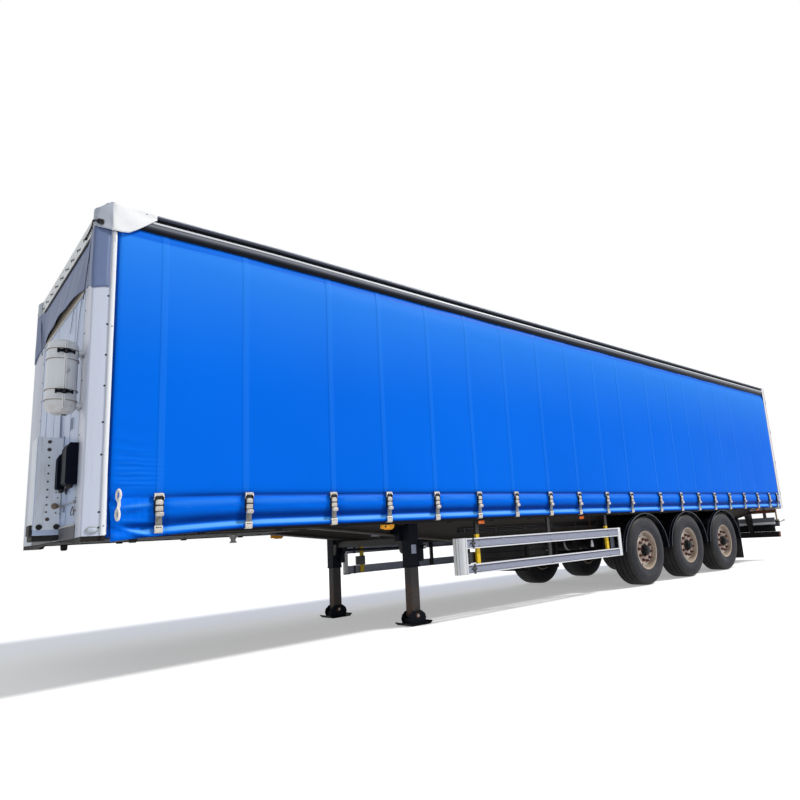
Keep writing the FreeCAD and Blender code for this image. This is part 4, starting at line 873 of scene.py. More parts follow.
def curtainGrid(side, seed):
    plan = curtainPlan
    chance = np.random.default_rng(seed)
    start, end = stationOf(curtainHigh.x), stationOf(curtainLow.x)
    stations = list(np.arange(start, end, plan["columnPitch"]))
    stations += list(np.linspace(start, start + 0.45, 46))
    for s in plan["strapStations"]:
        stations += [s + d for d in (-0.06, -0.045, -0.027, -0.024, -0.018, 0, 0.018, 0.024, 0.027, 0.045,
            0.06)]
    stations = np.array(sorted(s for s in set(np.round(stations, 4)) if start <= s <= end))
    keep = np.concatenate(([True], np.diff(stations) > 0.0025))
    stations = stations[keep]
    heights = np.concatenate((np.linspace(hemZ - 0.004, 1.53, 62), np.linspace(1.53, 1.9, 16)[1:],
        np.linspace(1.9, curtainTop, 30)[1:]))
    s, z = np.meshgrid(stations, heights)
    gapToStrap = np.min(np.abs(s[..., None] - np.array(plan["strapStations"])), axis=-1)
    nearStrap = bell(gapToStrap, 0, 0.07)
    between = 1 - bell(gapToStrap, 0, 0.16)
    low = 1 / (1 + np.exp((z - plan["creaseZ"]) / 0.006))
    levels, outs = zip(*plan["profile"])
    out = np.interp(z, levels, outs) * (0.62 + 0.38 * between)
    # The shade table is painted light: painted highlights on the hem roll and the belly, painted shade in
    # the crease and the tuck.
    levels, shades = zip(*plan["shade"])
    fold = np.interp(z, levels, shades)
    out -= 0.003 * nearStrap * low * bell(z, 1.32, 0.1)
    # Small sideways folds in the loose band, different in each bay.
    bay = np.digitize(s, plan["strapStations"])
    phase = chance.uniform(0, tau, 40)[bay]
    level = chance.uniform(1.3, 1.38, 40)[bay]
    out += 0.0022 * bell(z, level, 0.02) * np.sin(s * 7 + phase) * between
    out += 0.001 * low * np.sin(s * 21 + phase * 2) * np.sin((z - hemZ) * 34 + phase)
    pinch = bell(gapToStrap, 0, 0.13) * low
    out += 0.0026 * pinch * np.sin((z - 1.3) * 95 + phase) * np.clip(gapToStrap / 0.04, 0, 1)
    # Painted shade just beside each strap.
    fold -= 0.22 * bell(gapToStrap, 0.045, 0.03) * low
    # The main panel: slight pull lines up from each strap and slow waves along the side.
    up = np.clip((z - plan["creaseZ"]) / (curtainTop - plan["creaseZ"]), 0, 1)
    out += (1 - low) * 0.0035 * np.sin(s * 1.9 + 1.3) * np.sin(up * pi)
    out -= (1 - low) * 0.003 * bell(gapToStrap, 0, 0.09) * (1 - up) ** 2
    out += (1 - low) * 0.0022 * np.sin(s * 5.3 + 2.0) * np.sin(up * 7 + s)
    # Loose folds beside the front edge, and the drooping lower corner.
    front = s - start
    ladder = np.sin((z - 1.5) * 74 + 5 * front) * bell(z, 1.7, 0.24)
    out += 0.005 * ladder * bell(front, 0, 0.26) * np.clip(front / 0.08, 0, 1)
    fan = np.sin(((z - 1.1) * 46 + 6.5 * (0.36 - front) * (z - 1.18) * 10))
    out += 0.008 * fan * bell(z, 1.3, 0.15) * bell(front, 0.2, 0.13)
    # Painted light fades near the front edge; each corner crease gets a painted highlight above it and
    # painted shade below it.
    fold *= 1 - 0.85 * bell(front, 0, 0.34)
    for height, slope, weight in ((1.215, -0.34, 1.0), (1.262, -0.1, 0.6), (1.345, 0.04, 0.5)):
        crease = z - height - slope * (front - 0.09)
        mask = bell(front, 0.2, 0.15) * weight
        out += 0.007 * mask * bell(crease, 0, 0.02)
        fold += mask * (0.75 * bell(crease, 0.009, 0.012) - 0.65 * bell(crease, -0.022, 0.02))
    drop = (plan["cornerDrop"] if side > 0 else 0.0) * np.clip(1 - front / plan["cornerReach"], 0, 1) ** 1.5
    z = z - drop * np.clip((1.56 - z) / 0.36, 0, 1)
    z = z + hemRise(s) * np.clip((1.6 - z) / 0.2, 0, 1)
    s = s + plan["cornerTuck"] * bell(front, 0, 0.1) * np.clip((1.5 - z) / 0.3, 0, 1)
    out -= 0.014 * bell(front, 0, 0.02)
    z = z + (curtainTop + 0.034 - z) * np.clip((z - curtainTop + 0.004) / 0.004, 0, 1)
    seam = np.clip((0.0272 - gapToStrap) / 0.0035, 0, 1) * (z > plan["creaseZ"])
    out += 0.0012 * seam
    droop = np.random.default_rng(seed + 9).normal(0, 0.0006, out.shape[1])
    out = np.maximum(out + droop[None, :] * low, -0.0125) - plan["topInset"] * np.clip((z - 3.5) / 0.16, 0,
        1)
    # Darker lines along both edges of each seam.
    fold -= 0.3 * np.clip(1 - np.abs(gapToStrap - 0.0275) / 0.004, 0, 1) * (z > plan["creaseZ"])
    y = curtainY - 0.002 + out
    grime = np.clip((1.75 - z) / 0.55, 0, 1) ** 1.5
    rows = [[(at(s[j, i]), side * y[j, i], z[j, i]) for i in range(s.shape[1])] for j in range(s.shape[0])]
    if side > 0:
        rows = rows[::-1]
    order = (lambda a: a[::-1]) if side > 0 else (lambda a: a)
    marks = {"seam": order(seam).ravel(), "fold": order(fold).ravel(), "grime": order(grime).ravel()}
    return rows, marks, end - start


def curtain(side, word, seed):
    rows, marks, length = curtainGrid(side, seed)
    piece = sheetObject("curtainSheet" + word.capitalize(), rows, ["curtain"], 0.0016, marks)
    place(piece, "trailer", "curtain_blue", ["curtain_" + word])
    return piece


for side, word, seed in ((1, "left", 11), (-1, "right", 23)):
    curtain(side, word, seed)
print("curtains made")

# Straps with their over-centre buckles

strapPlan = {"webbing": 0.05, "frameWide": 0.07, "cheek": 0.006,}


def strapModel():
    # Modelled at station 0 with y as the distance out of the curtain's face.
    plan = strapPlan
    w = plan["webbing"]
    half = plan["frameWide"] / 2
    metal, shade = Build("strapMetalModel"), Build("strapShadeModel")
    for sign in (-1, 1):
        x = sign * (half - plan["cheek"] / 2)
        edge = [(0.006, 1.434), (0.026, 1.432), (0.036, 1.405), (0.034, 1.345), (0.028, 1.29),
            (0.016, 1.272), (0.008, 1.29)]
        # Painted shade: each cheek is dark, and a strip of buckle metal over its front edge is its lit part.
        shade.strip([(x - plan["cheek"] / 2, y, z) for y, z in edge], (plan["cheek"], 0, 0), "dark")
        metal.strip([(x - plan["cheek"] / 2 - 0.0005, y + 0.001, z) for y,
            z in edge[1:3]] + [(x - plan["cheek"] / 2 - 0.0005, 0.028, 1.404),
            (x - plan["cheek"] / 2 - 0.0005, 0.02, 1.426)], (plan["cheek"] + 0.001, 0, 0), "buckle")
    metal.box((-half, 0.006, 1.411), (half, 0.028, 1.436), "buckle", 0.005)
    for sign in (-1, 1):
        metal.box((sign * half - 0.004, 0.02, 1.38), (sign * half + 0.004, 0.034, 1.414), "buckle", 0.002)
    metal.blocks((-0.022, 0.022, 0.018, 0.036, 1.366, 1.384, "buckle", 0.005),
        (-0.029, 0.029, 0.02, 0.042, 1.341, 1.378, "buckle", 0.006),
        (-0.029, 0.029, 0.018, 0.04, 1.291, 1.334, "buckle", 0.006),
        (-0.031, 0.031, 0.03, 0.056, 1.25, 1.286, "buckle", 0.008))
    # Painted shade: a dark bar across the buckle between its plates.
    shade.rod((-half - 0.002, 0.034, 1.337), (half + 0.002, 0.034, 1.337), 0.0045, "dark", 8)
    hook = [(0.022, 1.18), (0.027, 1.172), (0.026, 1.13), (0.017, 1.121), (-0.012, 1.121), (-0.012, 1.126),
        (0.012, 1.126), (0.019, 1.134), (0.02, 1.17), (0.016, 1.18)]
    metal.strip([(-0.031, y, z) for y, z in hook], (0.062, 0, 0), "buckle")
    cloth = Build("strapWebModel")
    line = [(0, 0.018, 1.168), (0, 0.022, 1.182), (0, 0.02, 1.215), (0, 0.022, 1.25), (0, 0.026, 1.285)]
    cloth.ribbon(line, (w, 0, 0), 0.003, "webbing")
    # Painted shade: dark blocks inside the frame and behind the buckle.
    shade.blocks((-half + 0.004, half - 0.004, 0.0215, 0.03, 1.385, 1.4105, "dark", 0.001),
        (-half + 0.005, half - 0.005, 0.002, 0.016, 1.27, 1.412, "dark", 0.002))
    for x in (-0.016, 0.0, 0.016):
        shade.box((x - 0.006, 0.024, 1.163), (x + 0.006, 0.0282, 1.171), "dark", 0.001)
    return metal.object(), cloth.object(), shade.object()


def straps():
    models = strapModel()
    finishes = ("buckle", "webbing", "dark")
    names = ("strapBuckles", "strapWebs", "strapHollows")
    slots = ("steel", "tarp_grey", "rubber")
    for side, word in ((1, "Left"), (-1, "Right")):
        points = []
        for s in curtainPlan["strapStations"]:
            sunk = (side > 0) * curtainPlan["cornerDrop"] * max(0.0,
                1 - (s - 0.135) / curtainPlan["cornerReach"]) ** 1.5
            points.append((at(s), side * (curtainY - 0.002), float(hemRise(s)) - 0.15 * sunk))
        for model, coat, name, slot in zip(models, finishes, names, slots):
            base = pointMesh(name + word + "Points", points)
            values = {"Model": model, "Mirror": float(side), "Seed": 4}
            place(strapTree.grow(name + word, base, values, coat), "trailer", slot)
    for model in models:
        bpy.data.objects.remove(model)


straps()
print("straps made")

# Roof: cant rails, sheet, corner caps and the laced band

roofPlan = {"railStart": 0.1, "bowFirst": 0.42, "bowCount": 20, "sag": 0.011, "bandLow": 3.594,
    "eyeletStep": 0.12, "eyeletHeight": 3.655, "ropeRadius": 0.0045,}
railEnd = stationOf(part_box("roof_rails")[0].x)


def noseDrop(s):
    # The roof edge comes down a little toward the front corner.
    return 0.028 * max(0.0, 1 - s / 1.6)


def roofRails():
    rails = Build("roofRailProfiles")
    edge = [(1.2, 3.856), (1.24, 3.856), (1.256, 3.85), (1.266, 3.838), (1.268, 3.826), (1.264, 3.81),
        (1.2, 3.81)]
    # The gap between the rail's edge and body is drawn in the dark finish as painted shade in the recess.
    gap = [(1.2, 3.81), (1.234, 3.81), (1.234, 3.784), (1.2, 3.784)]
    body = [(1.2, 3.784), (1.246, 3.785), (1.26, 3.78), (1.268, 3.768), (1.2725, 3.75), (1.2735, 3.732),
        (1.2725, 3.712), (1.269, 3.694), (1.263, 3.68), (1.255, 3.671), (1.244, 3.667), (1.238, 3.67),
        (1.238, 3.69), (1.2, 3.69)]
    for s0, s1 in ((roofPlan["railStart"], 1.6), (1.6, railEnd)):
        for outline, name in ((edge, "railPaintedHighlights"), (gap, "dark"), (body, "railPaintedHighlights")):
            rails.strip([(at(s0), y, z) for y, z in outline], (at(s1) - at(s0), 0, 0), name)
    rails.points = [(x, y, z - noseDrop(stationOf(x)) * (z - 3.54) / 0.3) for x, y, z in rails.points]
    rails.mirror().piece("trailer", "rail_navy", ["roof_rails"])


def roofSheet():
    plan = roofPlan
    lastBow = railEnd - 0.26
    pitch = (lastBow - plan["bowFirst"]) / (plan["bowCount"] - 1)
    path = [(s, 3.8652) for s in np.linspace(13.704, 0.13, 240)]
    path += [(0.1, 3.862), (0.085, 3.852), (0.05, 3.812), (0.01, 3.768), (-0.004, 3.752), (-0.009, 3.738)]
    path += [(-0.0095, z) for z in np.linspace(3.71, plan["bandLow"], 8)]
    across = np.linspace(-1, 1, 57)
    chance = np.random.default_rng(5)
    wrinkle = chance.normal(0, 1, (len(path), len(across)))
    for axis in (0, 1):
        wrinkle = (np.roll(wrinkle, 1, axis) + wrinkle + np.roll(wrinkle, -1, axis)) / 3
    rows = []
    for j, (s, z) in enumerate(path):
        over = 1.0 if s > 0.12 else 0.0
        z = z - (noseDrop(s) if s > 0.06 else 0.0)
        row = [(at(s), -1.2535 - 0.013 * (1 - over), z - 0.02 * over),
            (at(s), -1.252 - 0.012 * (1 - over), z - 0.012 * over)]
        for i, v in enumerate(across):
            sag = plan["sag"] * sin(pi * (s - plan["bowFirst"]) / pitch) ** 2 * (1 - v ** 4) * over
            loose = 0.0012 * wrinkle[j, i] * over * (1 - v ** 4)
            flap = 0.0016 * sin(v * 26) * max(0.0, (3.7 - z) / 0.1) if s < 0 else 0.0
            wide = 1.246 if over else 1.262
            row.append((at(s) + flap, v * wide, z - sag + loose - 0.006 * over * v ** 6))
        row += [(at(s), 1.252 + 0.012 * (1 - over), z - 0.012 * over),
            (at(s), 1.2535 + 0.013 * (1 - over), z - 0.02 * over)]
        rows.append(row)
    piece = sheetObject("roofSheet", rows, ["roofVinyl"], 0.0018)
    place(piece, "trailer", "tarp_white", ["roof_tarp"])


def cornerCap(side, word):
    # Each column: distance ahead of the front plane, y, lower and upper height.
    columns = [(0.0135, 1.12, 3.59, 3.738), (0.03, 1.19, 3.588, 3.74), (0.034, 1.236, 3.586, 3.742),
        (0.027, 1.258, 3.583, 3.744), (0.006, 1.27, 3.58, 3.754), (-0.034, 1.277, 3.577, 3.784),
        (-0.078, 1.2825, 3.576, 3.815), (-0.093, 1.2845, 3.575, 3.8225), (-0.102, 1.2855, 3.575, 3.8235),
        (-0.16, 1.285, 3.578, 3.824), (-0.212, 1.284, 3.59, 3.824), (-0.28, 1.283, 3.64, 3.824),
        (-0.35, 1.282, 3.7, 3.824), (-0.416, 1.281, 3.76, 3.824), (-0.43, 1.279, 3.772, 3.823)]
    fine = []
    for a, b in zip(columns, columns[1:]):
        fine += [tuple(p + (q - p) * k / 3 for p, q in zip(a, b)) for k in range(3)]
    fine.append(columns[-1])
    rows = []
    for j in range(15):
        t = j / 14
        row = []
        for i, (ahead, y, low, high) in enumerate(fine):
            puff = 0.004 * sin(t * pi) * sin(i * 0.24 + 1.2)
            pull = 0.0016 * sin(i * 0.55 + t * 6.5)
            row.append((frontX + ahead, side * (y + puff + pull), low + (high - low) * t))
        rows.append(row)
    for inward, lift in ((0.006, 0.007), (0.018, 0.015), (0.034, 0.0225), (0.055, 0.0265), (0.085, 0.027)):
        row = []
        for ahead, y, low, high in fine:
            front = max(0.0, min(1.0, (ahead - 0.004) / 0.012))
            rise = lift * max(0.35, min(1.0, (0.02 - ahead) / 0.11))
            row.append((frontX + ahead - inward * front * 0.7, side * (y - inward * (1 - 0.6 * front)),
                high + rise))
        rows.append(row)
    piece = sheetObject("cornerCap" + word, rows if side < 0 else rows[::-1], ["capVinyl"], 0.0026)
    place(piece, "trailer", "tarp_white")
    fit = Build("capFittings" + word)
    fit.turned([(0, 0), (0.002, 0.0045), (0.004, 0.0045), (0.005, 0.002), (0.005, 0)],
        (at(0.345), side * 1.2805, 3.8), (0, side, 0), "dark", 10)
    fit.rod((at(0.118), side * 1.272, 3.492), (at(0.116), side * 1.272, 3.575), 0.0065, "capVinyl", 10)
    fit.blocks((at(0.122), at(0.112), side * 1.262, side * 1.272, 3.484, 3.5, "capVinyl", 0.002))
    fit.rod((frontX + 0.0375, side * 1.225, 3.59), (frontX + 0.0375, side * 1.226, 3.636), 0.0032,
        "paleWebbing", 8)
    fit.piece("trailer", "tarp_white")


def ringShape(grower):
    # Eyelet: a small torus flat on the cloth.
    radius = grower.take("Radius", "Float", 0.009)
    wire = grower.take("Wire", "Float", 0.002)
    loop = grower.out("GeometryNodeCurvePrimitiveCircle", {"mode": "RADIUS"},
        {"Resolution": 14, "Radius": radius})
    cut = grower.out("GeometryNodeCurvePrimitiveCircle", {"mode": "RADIUS"},
        {"Resolution": 6, "Radius": wire})
    return grower.out("GeometryNodeCurveToMesh", None, {"Curve": loop, "Profile Curve": cut})


ringTree = aimedTree("eyelets", ringShape)


def laceBand():
    plan = roofPlan
    spots = np.arange(-1.16, 1.14, plan["eyeletStep"])
    points = [(frontX + 0.0115, y, plan["eyeletHeight"] + 0.014 * (-1) ** k) for k, y in enumerate(spots)]
    normals = (1, 0, 0)
    mesh = pointMesh("eyeletPoints", points, normals)
    place(ringTree.grow("bandEyelets", mesh, {"Radius": 0.0105, "Wire": 0.0022, "Seed": 2}, "galvanised"),
        "trailer", "galvanised")
    rivets("bandHoles", points, normals, 0.015, 0.18, "dark", "trailer", "rubber")
    rope = Build("bandRope", frontX)
    for i, y in enumerate(spots[:-1]):
        if i % 2:
            continue
        z0, z1 = points[i][2], points[i + 1][2]
        run = [(0.0105, y, z0), (0.0165, y + 0.02, z0 + 0.001), (0.0175, y + 0.06, (z0 + z1) / 2),
            (0.0165, y + 0.1, z1 + 0.001), (0.0105, y + 0.12, z1)]
        rope.pipe(run, plan["ropeRadius"], "rope", 7)
    for turn in range(2):
        run = []
        for k in range(34):
            t = k / 33
            y = 0.86 + t * 0.385
            angle = t * 26 + turn * pi
            run.append((0.0205 + 0.022 * t ** 3 + 0.0045 * cos(angle), y, 3.636 + 0.0045 * sin(angle)))
        rope.pipe(run, 0.0045, "rope", 7)
    knot = []
    for k in range(60):
        t = k / 60 * tau
        r = 0.017 + 0.007 * cos(3 * t)
        knot.append((-0.002 + r * cos(2 * t), 1.287 + 0.007 * sin(3 * t), 3.622 + 0.8 * r * sin(2 * t)))
    rope.pipe(knot, 0.0075, "rope", 8, closed=True)
    rope.pipe([(0.042, 1.235, 3.634), (0.038, 1.262, 3.632), (0.014, 1.287, 3.624)], 0.006, "rope", 8)
    rope.piece("trailer", "rubber")
    # Dark strip under the laced band: painted shadow below the band.
    seal = Build("bandSeal", frontX)
    seal.box((0.001, -1.262, 3.572), (0.0125, 1.262, 3.6), "dark", 0.002)
    seal.piece("trailer", "rubber")


# Front: loose tarp, wall trim, corner posts

tarpPlan = {"top": 3.586, "cornerLow": 3.055, "sideLow": 3.085, "middleLow": 3.225, "bulge": 0.034,
    "sideReach": 0.088, "postAhead": 0.03,}


def frontTarp():
    plan = tarpPlan
    ahead = plan["postAhead"]
    across = [(-0.088, -1.2655), (-0.06, -1.266), (-0.03, -1.266), (0.0, -1.266), (ahead - 0.008, -1.2655),
        (ahead + 0.002, -1.261), (ahead + 0.006, -1.252)]
    flatRun = [(max(0.004, (ahead + 0.006) * max(0.0, (abs(y) - 0.88) / 0.36)),
        y) for y in np.linspace(-1.235, 1.235, 75)]
    columns = across + flatRun + [(ahead, -y) for ahead, y in across[::-1]]
    rows = []
    count = 26
    for j in range(count):
        t = j / (count - 1)
        row = []
        for ahead, y in columns:
            edge = abs(y) / 1.262
            if edge > 0.995:
                back = max(0.0, plan["postAhead"] - ahead)
                low = plan["cornerLow"] + (plan["sideLow"] - plan["cornerLow"]) * min(1,
                    back / plan["sideReach"])
            else:
                low = plan["middleLow"] - (plan["middleLow"] - plan["cornerLow"]) * min(1, edge) ** 5
                low -= 0.03 * (1 - (2 * edge - 1) ** 2) * 0.5
            z = plan["top"] + (low - plan["top"]) * t
            free = max(0.0, 1 - (abs(y) / 0.9) ** 2) if edge < 0.98 else 0.0
            out = plan["bulge"] * free ** 0.8 * t ** 1.5
            out += 0.0035 * sin(y * 11 + 2 * t) * t * (1 if edge < 0.98 else 0.15)
            out += 0.0022 * sin(y * 23 + 5 * t + 1.0) * sin(t * 3.0)
            sideways = 0.0012 * sin(ahead * 90 + 6 * t) if edge > 0.995 else 0.0
            row.append((frontX + ahead + max(out, 0), y + copysign(sideways, y), z))
        rows.append(row)
    piece = sheetObject("frontTarpSheet", rows[::-1], ["greyTarp"], 0.0015)
    place(piece, "trailer", "tarp_grey", ["front_tarp"])
    cord = Build("tarpRope")
    for side in (1, -1):
        run = [(frontX + 0.012, side * (1.115 - 0.21 * k / 12), 3.575 - 0.5 * k / 12) for k in range(13)]
        run = [(x + 0.006, y, z) for x, y, z in run]
        for shift, radius in ((0.0, 0.003), (0.016, 0.0024)):
            cord.pipe([(x + 0.004, y + side * (shift + 0.005 * sin(k * 1.9)), z) for k,
                (x, y, z) in enumerate(run)], radius, "ropeBlue", 6)
    cord.piece("trailer", "rubber")


def frontWallTrim():
    trim = Build("frontWallTrim", frontX)
    # The brown-grey strip behind the tarp's lower edge is painted shade in the recess; the pale strip under
    # it is the trim.
    trim.blocks((0.0005, 0.003, -0.885, 0.885, 3.17, 3.585, "gapBrown", 0.001),
        (0.0005, 0.008, -0.885, 0.885, 3.152, 3.168, "paleTrim", 0.002))
    for y, wide, low, high in ((0.884, 0.007, 1.22, 3.58), (-0.884, 0.007, 1.22, 3.58),
            (-0.175, 0.004, 2.0, 3.15), (0.56, 0.003, 1.24, 3.15), (-0.56, 0.003, 1.24, 3.15)):
        trim.box((0.0003, y - wide / 2, low), (0.0022, y + wide / 2, high), "seamGrey", 0.0006)
    trim.blocks((0.0005, 0.007, 0.352, 0.93, 1.119, 1.222, "sillBrown", 0.002),
        (0.0005, 0.007, -0.93, 0.098, 1.119, 1.222, "sillBrown", 0.002),
        (0.006, 0.012, 0.352, 0.93, 1.216, 1.228, "paleTrim", 0.002),
        (0.006, 0.012, -0.93, 0.098, 1.216, 1.228, "paleTrim", 0.002))
    for y in (0.615, 0.665):
        trim.rod((0.006, y, 2.02), (0.006, y + 0.012, 2.12), 0.0035, "seamGrey", 8)
    trim.rod((0.007, 0.185, 2.0), (0.007, 0.16, 2.36), 0.004, "seamGrey", 8)
    trim.rod((0.007, 0.235, 2.0), (0.007, 0.205, 2.36), 0.004, "seamGrey", 8)
    trim.pipe([(0.006, 0.36, 2.94), (0.006, 0.41, 3.02), (0.006, 0.47, 3.15)], 0.0028, "seamGrey")
    trim.pipe([(0.006, 0.66, 2.75), (0.006, 0.7, 2.95), (0.006, 0.78, 3.15)], 0.0028, "seamGrey")
    trim.piece("trailer", "steel")
    heights = list(np.arange(2.98, 2.0, -0.2)) + list(np.arange(1.93, 1.24, -0.1))
    spots = [(frontX + 0.0015, y, z) for z in heights for y in (0.918, -0.918)]
    rivets("stripRivets", spots, (1, 0, 0), 0.0075, 0.45, "dark", "trailer", "steel")
    heights = (3.012, 2.774, 2.52, 2.27, 1.98, 1.728, 1.293, 1.178)
    spots = [(at(0.086), side * (postFace + 0.0005), z) for z in heights for side in (1, -1)]
    rivets("postRivets", spots, outward(spots), 0.0085, 0.4, "dark", "trailer", "steel", 8)
    spots = [(at(0.118), side * 1.2735, z) for side in (1, -1) for z in (2.76, 1.19)]
    rivets("edgeRivets", spots, outward(spots), 0.007, 0.5, "galvanised", "trailer", "galvanised", 9)


postPlan = {"ahead": 0.03, "inner": 0.886, "face": 1.262, "wall": 0.04, "low": 1.118, "high": 3.59,}


def frontPosts():
    # Corner posts: the wide leaf slants forward to a tight corner, the side leaf is flat.
    plan = postPlan
    ahead, inner, face, wall = plan["ahead"], plan["inner"], plan["face"], plan["wall"]
    posts = Build("cornerPosts", frontX)
    outline = [(-0.0995, face - wall), (-0.0995, face - 0.002), (-0.0975, face), (ahead - 0.012, face)]
    for k in range(1, 6):
        angle = radians(90 - 85 * k / 5)
        outline.append((ahead - 0.012 + 0.012 * cos(angle), face - 0.012 + 0.012 * sin(angle)))
    outline += [(0.016, 1.085), (0.004, 0.96), (0.001, 0.95), (0.001, inner), (-0.039, inner),
        (-0.039, face - wall)]
    posts.strip([(x, y, plan["low"]) for x, y in outline], (0, 0, plan["high"] - plan["low"]), "postPaint")
    posts.mirror().piece("trailer", "front_white", ["front_posts"], 25)
    frame = Build("frontFrameBuilt", frontX)
    back = -0.0995
    for side in (1, -1):
        low = [(ahead - 0.004, face - 0.002), (0.01, 1.05), (0.0005, 0.95), (0.0005, 0.93), (back, 0.93),
            (back, face - 0.002)]
        frame.strip([(x, side * y, 1.079) for x, y in low], (0, 0, 0.0385), "sillDark")
        slope = [(0, side * 0.93, 1.079), (0, side * 0.93, 1.117), (0, side * 0.38, 1.117),
            (0, side * 0.38, 1.11)]
        frame.strip(slope, (-0.04, 0, 0), "sillDark")
    frame.blocks((-0.04, 0, -0.38, 0.38, 1.104, 1.1175, "sillDark", 0.002),
        (back, -0.002, -1.258, 1.258, 3.592, 3.664, "postPaint", 0.004),
        (back, -0.01, -1.24, 1.24, 3.668, 3.742, "postPaint", 0.004))
    frame.piece("trailer", "front_white", ["front_frame"])


def postEdges():
    edges = Build("postEdges")
    outline = [(0.0985, 1.24), (0.0985, 1.266), (0.101, 1.271), (0.106, 1.2735), (0.122, 1.2735),
        (0.129, 1.271), (0.132, 1.266), (0.132, 1.24)]
    edges.strip([(at(s), y, 1.119) for s, y in outline], (0, 0, 2.455), "whiteEdge")
    wedge = [(0.098, 1.125), (0.14, 1.125), (0.118, 2.4), (0.098, 3.2)]
    edges.strip([(at(s), 1.2625, z) for s, z in wedge], (0, 0.003, 0), "whiteEdge")
    edges.strip([(at(s), y, 1.079) for s, y in outline[1:-1]], (0, 0, 0.04), "sillDark")
    edges.mirror()
    edges.piece("trailer", "front_white")
    # Rolled curtain edges in a darker blue cloth: painted shade along the curtain's front and rear edges.
    rolls = Build("curtainRolls")
    for side in (1, -1):
        line = [(at(0.147), side * 1.256, z) for z in np.linspace(1.1, 3.69, 9)]
        rolls.pipe(line, 0.0125, "curtainEdgeShade", 14)
        line = [(at(railEnd - 0.012), side * 1.256, z) for z in np.linspace(1.15, 3.69, 9)]
        rolls.pipe(line, 0.012, "curtainEdgeShade", 14)
    rolls.piece("trailer", "curtain_blue")
    lamps = Build("postLamps")
    turns = [tau * k / 28 for k in range(28)]
    for side in (1, -1):
        lamps.pipe([(at(0.044) + 0.04 * cos(a), side * (postFace + 0.004),
            1.16 + 0.0225 * sin(a)) for a in turns], 0.0045, "galvanised", 8, closed=True)
        points = []
        for j in range(6):
            share, lift = cos(j / 5 * pi / 2), 0.012 * sin(j / 5 * pi / 2)
            points += [(at(0.044) + 0.038 * share * cos(a), side * (postFace + 0.002 + lift),
                1.16 + 0.0205 * share * sin(a)) for a in turns]
        lamps.add(points, gridFaces(6, 28, False) + [tuple(range(28))], "clear")
    lamps.piece("trailer", "lamp")


# Front: console, connector covers, safety case

consolePlan = {"face": 0.35, "front": 0.192, "bolts": (1.822, 1.752, 1.684, 1.616, 1.548, 1.484, 1.42,
    1.36),}


def consoleDetails():
    plan = consolePlan
    face = plan["face"]
    plate = Build("consolePlates", frontX)
    for side, y in ((1, face), (-1, face - 0.25)):
        plate.blocks((0.004, plan["front"] - 0.004, y, y + side * 0.004, 1.214, 1.994, "consolePaint",
            0.0015))
    plate.blocks((plan["front"], plan["front"] + 0.003, face - 0.246, face - 0.004, 1.216, 1.992,
        "consolePaint", 0.0012), (0.001, 0.006, face + 0.0005, face + 0.012, 1.3, 2.01, "seamGrey", 0.001))
    for offset in (0.15, 0.026):
        plate.turned([(0, 0), (0, 0.021), (0.004, 0.023), (0.009, 0.023), (0.012, 0.019), (0.012, 0.01),
            (0.01, 0.008), (0.01, 0)], (offset, face + 0.003, 1.236), (0, 1, 0), "dark", 20)
    plate.turned([(0, 0), (0, 0.026), (0.005, 0.026), (0.008, 0.018), (0.022, 0.016), (0.026, 0.008),
        (0.026, 0)], (0.046, face + 0.003, 1.408), (0, 1, 0), "seamBrown", 18)
    plate.rod((0.046, face + 0.012, 1.408), (0.02, face + 0.02, 1.4), 0.007, "rustSteel", 8)
    plate.blocks((plan["front"], plan["front"] + 0.024, face - 0.15, face - 0.006, 1.165, 1.255, "rubber",
        0.01), (0.004, plan["front"] + 0.002, face - 0.246, face - 0.004, 1.172, 1.2135, "sillBrown", 0.008),
        (0.004, plan["front"] + 0.001, face - 0.246, face - 0.004, 1.122, 1.17, "dark", 0.006))
    plate.piece("trailer", "front_white")
    spots = [(frontX + 0.105, face + 0.004, z) for z in plan["bolts"]]
    nuts("consoleBolts", spots, (0, 1, 0), 0.0065, 0.006, "boltDark", "trailer", "steel")
    spots = [(frontX + 0.107, face + 0.004, z) for z in (1.956, 1.889)] + [(frontX + 0.094, face + 0.004,
        1.3)]
    nuts("consoleNuts", spots, (0, 1, 0), 0.0125, 0.012, "boltDark", "trailer", "steel", 7)
    spots = [(frontX + 0.04, face + 0.004, 1.525), (frontX + 0.028, face + 0.004, 1.478),
        (frontX + 0.036, face + 0.004, 1.352), (frontX + 0.005, face + 0.006, 1.345)]
    nuts("consoleScrews", spots, (0, 1, 0), 0.005, 0.004, "boltDark", "trailer", "steel", 6)
    wall = Build("wallFittings", frontX)
    wall.rod((0.016, face + 0.004, 1.402), (0.016, 0.93, 1.4), 0.005, "galvanised", 10)
    for y in (0.4, 0.9):
        wall.box((0.0005, y - 0.012, 1.388), (0.022, y + 0.012, 1.414), "galvanised", 0.003)
    wall.box((0.0005, 0.478, 1.345), (0.016, 0.512, 1.398), "seamGrey", 0.004)
    corners = [(0.82, 1.322), (0.83, 1.3), (0.905, 1.3), (0.918, 1.316), (0.9, 1.35), (0.88, 1.366),
        (0.858, 1.356)]
    wall.pipe([(0.014, y, z) for y, z in corners], 0.0035, "boltDark", 8, closed=True)
    wall.rod((0.0005, 0.905, 1.334), (0.018, 0.905, 1.334), 0.008, "galvanised", 10)
    wall.piece("trailer", "steel")


